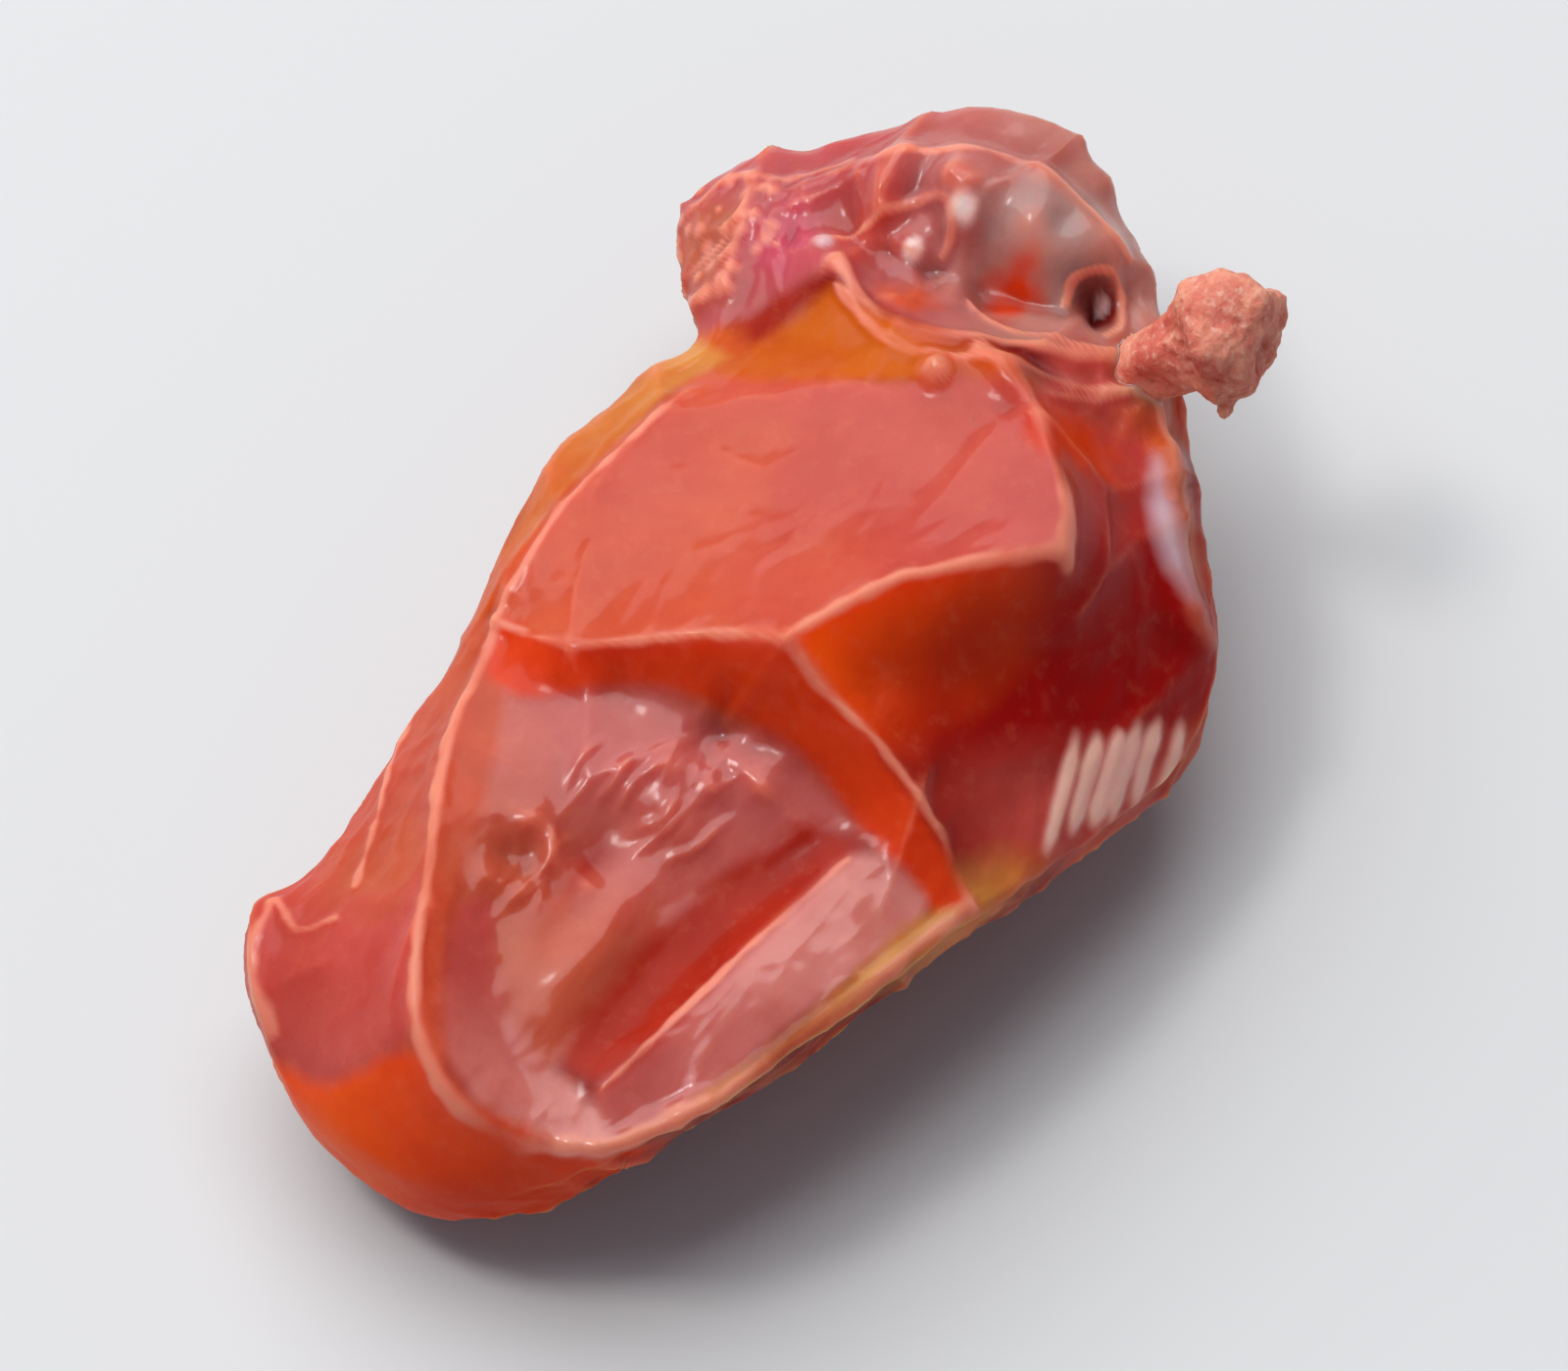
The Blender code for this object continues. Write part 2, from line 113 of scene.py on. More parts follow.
# %% Give the edge of the berry
BLOSSOM_TIP = (-0.55, -4.5, 1.0)
STALK_TIP = (-0.4, 5.3, 2.5)
LEFT_EDGE = [
    (-1.25, -4.45, 1.0), (-1.95, -4.15, 1.1), (-2.45, -3.75, 1.3), (-2.65, -3.25, 1.45),
    (-2.45, -2.7, 1.5), (-2.4, -1.8, 1.55), (-2.4, -0.9, 1.75), (-2.56, 0.2, 2.0),
    (-2.54, 1.1, 2.1), (-2.36, 1.9, 2.1), (-2.2, 2.5, 2.0), (-2.6, 2.95, 1.75),
    (-3.0, 3.5, 1.65), (-2.8, 4.05, 1.8), (-2.1, 4.6, 2.1), (-1.2, 5.2, 2.4),
]
RIGHT_EDGE = [
    (0.0, -4.42, 1.1), (0.55, -4.15, 1.4), (1.0, -3.75, 1.8), (1.42, -3.1, 2.0),
    (1.72, -2.4, 2.05), (2.02, -1.6, 2.05), (2.3, -0.8, 2.0), (2.56, 0.1, 1.75),
    (2.78, 1.0, 1.5), (2.84, 1.75, 1.4), (2.6, 2.45, 1.5), (2.2, 3.0, 1.7),
    (1.8, 3.5, 1.9), (1.4, 4.0, 2.05), (0.95, 4.45, 2.2), (0.35, 4.9, 2.35),
]


def between(a, b, c, d, t):
    """The point a share t of the way from b to c on a smooth curve through a, b, c and d."""
    squared = a - 2.5 * b + 2 * c - d / 2
    cubed = 1.5 * b - 1.5 * c + (d - a) / 2
    return b + t * ((c - a) / 2 + t * (squared + t * cubed))


def on_edge(station):
    """Points of the berry's edge, a closed loop up its left side and down its right, at these stations."""
    loop = np.array([BLOSSOM_TIP, *LEFT_EDGE, STALK_TIP, *reversed(RIGHT_EDGE)])
    low = np.floor(station).astype(int)
    a, b, c, d = (loop[(low + shift) % len(loop)] for shift in (-1, 0, 1, 2))
    return between(a, b, c, d, (station - low)[:, None])


def smooth_line(points, step):
    """Points about a step apart on a smooth curve through the given ones."""
    given = np.array(points, float)
    given = np.vstack([2 * given[0] - given[1], given, 2 * given[-1] - given[-2]])
    found = []
    for a, b, c, d in zip(given, given[1:], given[2:], given[3:]):
        count = max(2, math.ceil(np.linalg.norm(c - b) / step))
        found.append(between(a, b, c, d, np.arange(count)[:, None] / count))
    return np.vstack([*found, given[-2:-1]])


around = on_edge(np.linspace(0, 2 * (len(LEFT_EDGE) + 1), 200))
print("outline:", np.ptp(around, axis=0).round(2), "mm")

# %% [markdown]
# ## The folds that hold the skin up
#
# What gives this berry its look is where the skin is held: a ridge that runs across its back, the rim of
# the long sunk lobe over the seed, the knobbly crown round the stalk. Between them it is drawn tight. So we
# list the ridges and the bottoms of the hollows as lines of places, (x, y, height), and leave the rest to
# the next step.

# %% List the ridges and hollows of the upper skin
UPPER_FOLDS = {
    "shelf edge": [(-2.1, -0.5, 2.35), (-1.35, -0.55, 2.8), (-0.5, -0.15, 3.05), (0.15, 0.05, 3.3)],
    "main ridge": [(0.15, 0.05, 3.3), (0.6, 0.75, 3.5), (0.9, 1.05, 3.55), (1.6, 1.7, 3.65)],
    "upper ridge": [
        (1.6, 1.7, 3.65), (1.5, 2.0, 3.65), (1.2, 2.35, 3.6), (0.55, 2.85, 3.4), (0.1, 3.0, 3.3),
    ],
    "panel top": [(-1.75, 2.1, 2.7), (-0.5, 2.4, 3.05), (0.45, 2.6, 3.2), (0.9, 2.65, 3.45)],
    "panel side": [
        (-1.85, 1.85, 2.72), (-2.0, 1.1, 2.75), (-2.12, 0.5, 2.75), (-2.15, -0.2, 2.6), (-2.1, -0.5, 2.35),
    ],
    "arch": [
        (0.15, 0.05, 3.3), (0.5, -0.1, 3.15), (1.15, -0.22, 3.0), (1.8, -0.42, 2.7), (2.25, -0.7, 2.5),
    ],
    "arch foot": [(-1.55, -1.0, 2.45), (-0.75, -0.55, 2.55), (0.35, -0.4, 2.6), (1.2, -0.65, 2.4)],
    "lobe rim": [
        (-2.1, -0.5, 2.35), (-1.85, -1.65, 2.52), (-1.3, -2.86, 2.6), (-0.75, -3.85, 2.6),
        (0.0, -4.15, 2.35), (0.65, -3.9, 2.15), (1.25, -3.35, 2.2), (1.65, -2.5, 2.32),
        (2.05, -1.3, 2.42), (2.25, -0.7, 2.5),
    ],
    "facet edge": [(0.62, -3.45, 2.22), (0.88, -2.5, 2.36), (1.08, -1.65, 2.41), (1.28, -0.95, 2.43)],
    "facet middle": [(1.0, -3.2, 2.22), (1.25, -2.4, 2.36), (1.52, -1.5, 2.41), (1.78, -0.95, 2.42)],
    "furrow": [(0.42, -3.2, 2.08), (0.6, -2.4, 2.13), (0.8, -1.5, 2.18), (1.05, -0.8, 2.33)],
    "furrow bank": [(0.2, -3.15, 2.1), (0.34, -2.4, 2.15), (0.52, -1.6, 2.2), (0.78, -0.8, 2.35)],
    "hump": [(-0.03, -1.75, 2.3), (0.0, -2.35, 2.38), (-0.03, -3.0, 2.22)],
    "left furrow": [(-0.42, -1.6, 2.24), (-0.45, -2.2, 2.22), (-0.42, -2.7, 2.22)],
    "dish foot": [(-1.0, -2.35, 2.35), (-0.35, -3.4, 2.15), (0.3, -3.65, 2.05), (0.85, -3.5, 2.12)],
    "plateau": [(-1.15, -1.2, 2.5), (0.05, -1.3, 2.45), (0.4, -1.05, 2.4)],
    "flank edge": [(-0.75, -3.85, 2.6), (-1.2, -4.2, 1.95), (-1.6, -4.4, 1.45)],
    "lip": [(-2.45, -3.4, 1.75), (-2.1, -3.6, 2.0), (-1.75, -3.6, 2.15)],
    "valley": [(0.75, 0.15, 2.95), (1.35, 0.7, 2.8), (1.9, 1.3, 2.68), (2.12, 1.85, 2.66)],
    "valley shoulder": [(2.1, 0.05, 2.35), (2.4, 0.7, 2.25), (2.55, 1.45, 2.2), (2.4, 2.0, 2.3)],
    "stalk fold": [(1.5, 3.45, 2.8), (1.7, 3.0, 2.7), (2.05, 2.6, 2.55), (2.4, 2.35, 2.35)],
    "stalk valley": [(1.05, 3.4, 2.7), (1.4, 2.85, 2.8), (1.75, 2.35, 2.8)],
    "cap border": [
        (-1.35, 3.3, 2.8), (-1.0, 3.1, 2.88), (-0.6, 3.0, 3.0), (-0.05, 3.1, 3.05), (0.45, 3.4, 3.0),
        (1.0, 3.85, 2.8),
    ],
    "amber facet": [(-1.15, 2.55, 2.8), (-0.65, 2.7, 2.9)],
    "crown": [(-1.9, 4.1, 2.6), (-1.1, 4.55, 2.95), (-0.45, 4.7, 3.1), (0.5, 4.5, 2.85)],
    "cap valley": [(-1.5, 3.65, 2.4), (-0.95, 3.7, 2.45), (-0.3, 3.75, 2.5), (0.2, 3.85, 2.5)],
    "dome": [(-0.6, 4.3, 2.98), (-0.1, 4.28, 3.0), (0.2, 4.5, 2.88)],
    "cap corner": [(-2.6, 3.2, 2.0), (-2.2, 3.4, 2.25), (-1.8, 3.45, 2.4)],
}
print(len(UPPER_FOLDS), "lines hold the upper skin")

# %% List the keels and hollows of the belly
BELLY_FOLDS = {
    "resting spot": [
        (-0.5, -0.7, -0.1), (0.5, -0.7, -0.1), (0.8, 0.4, -0.1), (0.5, 1.5, -0.1), (-0.5, 1.5, -0.1),
        (-0.8, 0.4, -0.1), (-0.5, -0.7, -0.1),
    ],
    "spot middle": [(0.0, -0.5, -0.1), (0.0, 1.3, -0.1)],
    "tip keel": [(-0.2, -0.8, 0.0), (-0.4, -2.6, 0.2), (-0.5, -4.0, 0.45)],
    "left keel": [(-0.8, 0.6, 0.0), (-1.6, 1.0, 0.3), (-2.2, 1.4, 0.8)],
    "left low keel": [(-0.6, -0.8, 0.0), (-1.4, -2.0, 0.25), (-2.1, -3.0, 0.55)],
    "right keel": [(0.8, 0.5, 0.0), (1.7, 0.9, 0.25), (2.4, 1.4, 0.55)],
    "right low keel": [(0.6, -0.8, 0.0), (1.1, -2.1, 0.3), (1.15, -3.1, 0.75)],
    "stalk keel": [(0.1, 1.6, 0.0), (-0.1, 2.9, 0.3), (-0.3, 4.3, 0.85)],
    "cap keel": [(-0.5, 1.6, 0.0), (-1.4, 2.6, 0.35), (-2.4, 3.5, 0.8)],
    "right cap keel": [(0.6, 1.6, 0.0), (1.15, 2.7, 0.4), (1.3, 3.7, 1.0)],
    "left hollow": [(-1.4, -0.8, 0.6), (-1.85, -0.2, 0.9)],
    "left cap hollow": [(-1.2, 1.6, 0.5), (-1.8, 2.2, 0.9)],
    "right hollow": [(1.6, -0.4, 0.7), (1.4, -1.3, 0.65)],
    "right cap hollow": [(1.3, 1.7, 0.45), (1.9, 2.2, 0.8)],
    "tip hollow": [(0.3, -2.4, 0.6), (0.35, -3.5, 0.9)],
    "left tip hollow": [(-1.1, -2.6, 0.55), (-1.3, -3.6, 0.8)],
    "cap hollow": [(-0.8, 2.8, 0.7), (-1.2, 3.7, 1.05)],
    "stalk hollow": [(0.5, 2.8, 0.7), (0.6, 3.7, 1.05)],
}
print(len(BELLY_FOLDS), "lines hold the belly")

# %% [markdown]
# ## Drawing the skin tight over its folds
#
# Skin that shrinks behaves like a soap film: between two wires it takes the smallest area. We could sculpt
# that by hand, but it is quicker and truer to let the computer find it. We hold the lines on a square grid
# and let every other point sink to the mean of its four neighbours, again and again, first on a coarse grid
# and then on finer ones. A little suction between the lines makes the panels dish as the real ones do.

# %% Write the film that is drawn over the lines
FILM_CELLS = (0.8, 0.4, 0.2, 0.1, 0.05, 0.025)
FILM_HALF_X = 3.6
FILM_HALF_Y = 6.0
FILM_ROUNDS = 160
FILM_SOFTENING = 24
UPPER_SAG = 0.35
BELLY_SAG = 0.35


def neighbours(heights):
    """The mean height of each grid point's four neighbours."""
    wide = np.pad(heights, 1, mode="edge")
    return (wide[:-2, 1:-1] + wide[2:, 1:-1] + wide[1:-1, :-2] + wide[1:-1, 2:]) / 4


def height_at(heights, x, y):
    """The film's height above these places, read between its grid points."""
    rows, columns = heights.shape
    across = np.clip((x + FILM_HALF_X) / (2 * FILM_HALF_X), 0, 1) * (columns - 1)
    along = np.clip((y + FILM_HALF_Y) / (2 * FILM_HALF_Y), 0, 1) * (rows - 1)
    column = np.minimum(across.astype(int), columns - 2)
    row = np.minimum(along.astype(int), rows - 2)
    u = across - column
    v = along - row
    near = heights[row, column] * (1 - u) + heights[row, column + 1] * u
    far = heights[row + 1, column] * (1 - u) + heights[row + 1, column + 1] * u
    return near * (1 - v) + far * v


def film(lines, sag):
    """Heights on a square grid of a film drawn tight over the lines, and sucked down between them."""
    heights = None
    for cell in FILM_CELLS:
        columns = round(2 * FILM_HALF_X / cell) + 1
        rows = round(2 * FILM_HALF_Y / cell) + 1
        total = np.zeros((rows, columns))
        count = np.zeros((rows, columns))
        for line in lines:
            points = smooth_line(line, cell / 3)
            column = np.rint((points[:, 0] + FILM_HALF_X) / cell).astype(int)
            row = np.rint((points[:, 1] + FILM_HALF_Y) / cell).astype(int)
            np.add.at(total, (row, column), points[:, 2])
            np.add.at(count, (row, column), 1)
        held = count > 0
        target = total / np.maximum(count, 1)
        if heights is None:
            heights = np.full((rows, columns), target[held].mean())
        else:
            x = np.linspace(-FILM_HALF_X, FILM_HALF_X, columns)
            y = np.linspace(-FILM_HALF_Y, FILM_HALF_Y, rows)
            heights = height_at(heights, *np.meshgrid(x, y))
        for _ in range(FILM_ROUNDS):
            heights = np.where(held, target, neighbours(heights) - sag * cell * cell / 4)
    for _ in range(FILM_SOFTENING):
        heights = neighbours(heights)
    return heights


# %% Wrap the skin round the edge
WALL_FULLNESS = 2.5
END_FULLNESS = 5
SHOULDER_RISE = 0.45
BILGE_DROP = 1.15
LOWEST_BILGE = 0.25
EDGE_STEPS = 12
STATIONS = len(LEFT_EDGE) + 1

edge = on_edge(np.linspace(0, 2 * STATIONS, EDGE_STEPS * STATIONS))
bilge = edge - [0, 0, BILGE_DROP]
bilge[:, 2] = np.maximum(bilge[:, 2], LOWEST_BILGE)
upper_film = film([*UPPER_FOLDS.values(), edge + [0, 0, SHOULDER_RISE]], UPPER_SAG)
belly_film = film([*BELLY_FOLDS.values(), bilge], -BELLY_SAG)
print("upper film:", upper_film.shape, "heights up to", upper_film.max().round(2), "mm")


def skin_places(polar, turn):
    """Where the points of a round ball, given by their two angles, come to lie on the shrunken skin."""
    station = STATIONS * polar / math.pi
    share = ((1 + np.cos(turn)) / 2)[:, None]
    middle = on_edge(station) * (1 - share) + on_edge(2 * STATIONS - station) * share
    x, y, edge_height = middle.T
    skin = np.where(np.sin(turn) > 0, height_at(upper_film, x, y), height_at(belly_film, x, y))
    wall = (1 - np.abs(np.cos(turn)) ** WALL_FULLNESS) ** (1 / WALL_FULLNESS)
    end = (1 - np.abs(np.cos(polar)) ** END_FULLNESS) ** (1 / END_FULLNESS)
    return np.column_stack([x, y, edge_height + (skin - edge_height) * wall * end])


# %% [markdown]
# ## A round ball to start from
#
# Every point of the skin starts on a round ball whose poles become the blossom tip and the stalk end. That
# keeps the mesh in neat rings and strips, so that later we can read how it folds by rows and columns. We
# move the rings and strips a few times until they stand at even steps, so that steep walls get their share.

# %% Make a round ball
BERRY_SEGMENTS = 376
BERRY_RINGS = 262


def ball(segments, rings):
    """A round ball, and its points' angles from its first pole and round its axis."""
    bm = bmesh.new()
    bmesh.ops.create_uvsphere(bm, u_segments=segments, v_segments=rings, radius=1)
    points = np.array([vertex.co for vertex in bm.verts])
    return bm, np.arccos(np.clip(points[:, 2], -1, 1)), np.arctan2(points[:, 1], points[:, 0])


def move_points(bm, places):
    """Puts the mesh's points at these places in millimetres and gives its normals there."""
    for vertex, place in zip(bm.verts, places):
        vertex.co = Vector(place) * MM
    bm.normal_update()
    return np.array([vertex.normal for vertex in bm.verts])


berry_bm, polar, turn = ball(BERRY_SEGMENTS, BERRY_RINGS)
ring = np.rint(polar / math.pi * BERRY_RINGS).astype(int)
strip = np.rint(turn / (2 * math.pi) * BERRY_SEGMENTS).astype(int) % BERRY_SEGMENTS
print("points of the ball:", len(berry_bm.verts))

# %% Lay out the ball's points by row and column
def by_rows(values):
    """The points' values laid out by ring and strip of the ball, with its poles repeated round."""
    laid = np.zeros((BERRY_RINGS + 1, BERRY_SEGMENTS, *values.shape[1:]))
    laid[ring, strip] = values
    laid[0] = values[ring == 0]
    laid[-1] = values[ring == BERRY_RINGS]
    return laid


def evened(angles, laid):
    """The angles changed so that the points laid out along them stand at even steps."""
    steps = np.linalg.norm(np.diff(laid, axis=0), axis=-1)
    length = np.concatenate([[0], np.cumsum(steps)])
    return np.interp(np.linspace(0, length[-1], len(angles)), length, angles)


print("rows and columns:", by_rows(polar).shape)

# %% Even out the ball's points and lay them on the skin
EVENING_ROUNDS = 3

half = BERRY_SEGMENTS // 2
polars = np.linspace(0, math.pi, BERRY_RINGS + 1)
turns = np.tile(np.linspace(0, 2 * math.pi, BERRY_SEGMENTS, endpoint=False), (BERRY_RINGS + 1, 1))
for _ in range(EVENING_ROUNDS):
    laid = by_rows(skin_places(polars[ring], turns[ring, strip]))
    for row in range(1, BERRY_RINGS):
        loop = np.append(turns[row], 2 * math.pi)
        points = np.vstack([laid[row], laid[row, :1]])
        turns[row, :half] = evened(loop[:half + 1], points[:half + 1])[:-1]
        turns[row, half:] = evened(loop[half:], points[half:])[:-1]
    turns[1:-1] = (turns[:-2] + turns[1:-1] + turns[2:]) / 3
    mean_steps = np.linalg.norm(np.diff(laid, axis=0), axis=-1).mean(axis=1)
    length = np.concatenate([[0], np.cumsum(mean_steps)])
    polars = np.interp(np.linspace(0, length[-1], BERRY_RINGS + 1), length, polars)
polar = polars[ring]
turn = turns[ring, strip]
places = skin_places(polar, turn)
normals = move_points(berry_bm, places)
upper = np.sin(turn) > 0
print("skin points:", len(places), "thickness:", round(np.ptp(places[:, 2]), 2), "mm")

# %% [markdown]
# ## Relief in three sizes
#
# A real dried skin is never smooth between its big folds. It has small sunk facets, and in them smaller
# ones, like crumpled foil. We scatter middles in space and sink the skin wherever one of them is clearly
# the nearest, which gives sunk cells with sharp borders. The largest size is in the solid model too. The
# broad panels and the near end stay calm.

# %% Crumple the skin into facets
FACET_STRETCH = 1.5
FACET_REACH = (3, 5, 3.6)
FACET_SIZES = [
    {"count": 70, "depth": 0.07, "edge": 0.2, "seed": 7},
    {"count": 700, "depth": 0.05, "edge": 0.09, "seed": 3},
    {"count": 7000, "depth": 0.018, "edge": 0.04, "seed": 5},
]
CALM_PLACES = [(-0.5, 1.0, 1.5), (1.4, -2.2, 1.1), (0.0, -3.2, 0.9), (1.5, 0.9, 0.9)]
CRUMPLED_PLACES = [
    (0.0, -0.85, 0.5), (-0.75, -2.2, 0.35), (-1.7, 3.8, 0.8), (0.8, 4.3, 0.4), (-2.5, 3.3, 0.7),
    (1.2, 3.6, 0.4),
]
NEAR_END = (-0.9, -4.6, 1.1)
NEAR_END_CALM = 0.9
FINE_SHARE = 0.12
SPOT_SHARPNESS = 4
FLANK_SHARPNESS = 3
FLANK_CRUMPLE = 0.5


def facets(places, count, depth, edge, seed):
    """Small sunk facets, each nearest its own scattered middle, with sharp edges between them."""
    random = np.random.default_rng(seed)
    reach = np.array(FACET_REACH)
    middles = random.uniform(reach * (-1, -1, 0), reach, (count, 3))
    squeeze = np.array([1, 1 / FACET_STRETCH, 1])
    tree = kdtree.KDTree(count)
    for index, middle in enumerate(middles * squeeze):
        tree.insert(middle, index)
    tree.balance()
    near = [[found[2] for found in tree.find_n(place, 2)] for place in places * squeeze]
    gap = np.diff(near, axis=1)[:, 0]
    return -depth * (1 - np.exp(-gap / edge))


def from_spot(x, y, radius):
    """How far each place is from a spot seen from above, counted in the spot's radius."""
    return np.hypot(places[:, 0] - x, places[:, 1] - y) / radius


def near_spots(spots):
    """1 within a radius of these spots seen from above, fading to 0 away from them."""
    return np.max([np.exp(-(from_spot(*spot) ** SPOT_SHARPNESS)) for spot in spots], axis=0)


near_end = near_spots([NEAR_END])
calm = np.maximum(near_spots(CALM_PLACES) * upper, near_end)
flank = np.abs(np.cos(turn)) ** FLANK_SHARPNESS
crumpled = np.maximum(near_spots(CRUMPLED_PLACES), FLANK_CRUMPLE * flank)
fine = np.where(upper, FINE_SHARE + (1 - FINE_SHARE) * crumpled, 1) * (1 - NEAR_END_CALM * near_end)
crumple = [facets(places, **size) for size in FACET_SIZES]
print("facet depths in mm:", [round(-height.min(), 3) for height in crumple])

# %% [markdown]
# ## Knobs, creases and thin crests
#
# Along the sharp folds the skin is pinched double into a thin crest, which the material makes paler, partly
# for the thin skin and partly as a painted highlight, and the cap is all knobs, beads and dry crumbs. Some
# beads are painted glints. We give each as a line or a spot, and raise the skin by how near each point is.
# A little waviness in the distance keeps the lines from looking ruled.
#
# A knob is (x, y, radius, height), and a bead is (x, y, radius, pigment). A crease or a crest is (width,
# height, line), and where the line is one of the folds above, its name stands for it. The crumbs are
# scattered from a seed round one place, so that they come out the same each time.

# %% Measure how near the skin is to a line
LINE_STEP = 0.08


def line_distance(places, points, reach):
    """How far each place is from a smooth line through points, which may be given flat, within a reach."""
    line = smooth_line(points, LINE_STEP)
    spots = places[:, :line.shape[1]]
    close = np.all((spots > line.min(axis=0) - reach) & (spots < line.max(axis=0) + reach), axis=1)
    nearest = np.full(len(places), np.inf)
    found = nearest[close]
    for start, end in zip(line, line[1:]):
        way = end - start
        from_start = spots[close] - start
        share = np.clip(from_start @ way / (way @ way), 0, 1)
        found = np.minimum(found, np.linalg.norm(from_start - share[:, None] * way, axis=1))
    nearest[close] = found
    return nearest


def ripple(places, size, seed):
    """Smooth noise between about -1 and 1 whose waves are about a size in millimetres long."""
    offset = Vector((seed * 17.0, seed * 5.0, seed * 11.0))
    return np.array([noise.noise(Vector(place) / size + offset) for place in places])


LONG_RIPPLE_SIZE = 0.7
SHORT_RIPPLE_SIZE = 0.18

long_ripple = ripple(places, LONG_RIPPLE_SIZE, 1)
short_ripple = ripple(places, SHORT_RIPPLE_SIZE, 2)
waviness = long_ripple + short_ripple
print("ripple heights:", long_ripple.min().round(2), "to", long_ripple.max().round(2))

# %% List the knobs, beads, crumbs and creases
KNOBS = [
    (-1.55, 3.4, 0.35, 0.22), (-2.2, 3.1, 0.4, 0.12), (-2.45, 3.6, 0.35, 0.15), (-0.95, 3.85, 0.22, 0.18),
    (-0.85, 4.35, 0.28, 0.2), (-1.45, 4.15, 0.3, 0.18), (0.3, 4.45, 0.24, 0.12), (0.5, 4.1, 0.15, -0.26),
    (-0.1, 4.25, 0.4, 0.26), (-0.1, 2.68, 0.14, 0.1), (-0.25, 3.85, 0.32, -0.1), (-1.95, 3.85, 0.25, 0.12),
    (1.2, 3.6, 0.22, 0.16), (-0.1, -0.6, 0.16, -0.1), (-0.25, -1.0, 0.16, 0.08), (0.4, -0.78, 0.15, 0.09),
    (0.05, -0.95, 0.12, 0.07),
]
CAP_KNOBS = 26
CAP_CORNERS = ((-2.9, 3.0), (1.2, 5.1))
CAP_KNOB_SIZES = ((0.1, -0.05), (0.22, 0.12))
CAP_KNOB_SEED = 23
# The near-white and pale lilac beads are painted glints on small bumps, where the cap catches the lamp.
BEADS = [
    (-0.72, 4.11, 0.11, "glint white"), (-0.95, 3.76, 0.08, "glint white"), (0.5, 4.16, 0.06, "glint white"),
    (-0.1, 2.68, 0.1, "cream"), (-1.6, 3.5, 0.08, "glint lavender"),
]
BEAD_RISE = 0.5
CRUMB_PLACE = (-2.5, 3.3, 0.6)
CRUMBS = 44
CRUMB_RADII = (0.05, 0.11)
CRUMB_RISE = 0.275
CRUMB_PALENESS = 0.75
CRUMB_SEED = 31
CREASES = [
    (0.12, 0.10, [(-1.4, 4.45), (-1.3, 3.7)]),
    (0.12, 0.08, [(-0.7, 4.3), (-0.5, 3.6)]),
    (0.14, 0.07, [(-0.95, -1.9), (-0.35, -2.1)]),
    (0.14, 0.06, [(-0.95, -2.4), (-0.45, -2.35)]),
    (0.14, 0.12, [(1.6, 3.35), (2.0, 2.75), (2.4, 2.35)]),
]
CREASE_REACH = 3
print("knobs:", len(KNOBS) + CAP_KNOBS, "beads:", len(BEADS), "crumbs:", CRUMBS, "creases:", len(CREASES))

# %% Raise the knobs, creases, beads and crumbs
relief = crumple[0] * (1 - calm) + (crumple[1] + crumple[2]) * fine


def raise_knob(x, y, radius, tall):
    """Raises the upper skin into a soft round knob, or sinks it into a pit where the height is below 0."""
    relief[:] += upper * tall * np.exp(-(from_spot(x, y, radius) ** 2))


for knob in KNOBS:
    raise_knob(*knob)
for width, tall, points in CREASES:
    away = line_distance(places, points, CREASE_REACH * width)
    relief += upper * tall * np.exp(-((away / width) ** 2))
random = np.random.default_rng(CAP_KNOB_SEED)
for _ in range(CAP_KNOBS):
    raise_knob(*random.uniform(*CAP_CORNERS), *random.uniform(*CAP_KNOB_SIZES))
for x, y, radius, _ in BEADS:
    raise_knob(x, y, radius, BEAD_RISE * radius)
random = np.random.default_rng(CRUMB_SEED)
crumbs = np.zeros(len(places))
for index in random.choice(np.flatnonzero(upper & (from_spot(*CRUMB_PLACE) < 1)), CRUMBS):
    radius = random.uniform(*CRUMB_RADII)
    crumb = np.exp(-((np.linalg.norm(places - places[index], axis=1) / radius) ** 2))
    crumbs = np.maximum(crumbs, crumb)
    relief += CRUMB_RISE * radius * crumb
print("relief from", relief.min().round(2), "to", relief.max().round(2), "mm")

# %% List the crests
CRESTS = {
    "shelf edge": (0.055, 0.04),
    "main ridge": (0.07, 0.06),
    "upper ridge": (0.11, 0.07),
    "panel side": (0.05, 0.03),
    "arch": (0.06, 0.045),
    "lobe rim": (0.07, 0.06),
    "facet edge": (0.045, 0.02),
    "cap border": (0.085, 0.07),
    "crown": (0.06, 0.04),
}
EXTRA_CRESTS = [
    (0.055, 0.06, [(-1.5, 3.55), (-1.25, 3.98), (-0.95, 4.22), (-0.72, 4.12), (-0.72, 3.85)]),
    (0.055, 0.04, [(0.3, 3.95), (0.27, 4.15), (0.42, 4.32), (0.62, 4.3), (0.74, 4.1), (0.7, 3.92)]),
    (0.06, 0.05, [(-1.25, 3.12), (-0.85, 2.9), (-0.4, 2.8), (0.1, 2.9), (0.6, 3.15), (1.05, 3.5)]),
    (0.05, 0.05, [(0.75, 3.05), (1.0, 3.4), (1.15, 3.75)]),
    (0.045, 0.04, [(-2.85, 3.5), (-2.6, 3.85), (-2.2, 3.95), (-1.85, 4.3)]),
    (0.05, 0.05, [(-0.35, 3.6), (0.0, 3.42), (0.45, 3.55), (0.9, 3.85)]),
    (0.04, 0.03, [(-2.5, -0.8), (-2.25, -1.9), (-1.95, -2.9)]),
    (0.05, 0.04, [(-2.55, 3.0), (-2.3, 3.35), (-2.35, 3.7)]),
    (0.05, 0.04, [(1.0, 3.5), (1.25, 3.62), (1.5, 3.45), (1.75, 3.0)]),
    (0.07, 0.03, [(-2.52, -3.2), (-2.38, -3.7), (-1.95, -4.05)]),
    (0.05, 0.04, [(-2.5, -3.15), (-2.2, -3.35), (-1.95, -3.2)]),
]
CREST_REACH = 5
CREST_WAVER = 0.03
CREST_SHARE = 0.7
CREST_UNEVENNESS = 0.6
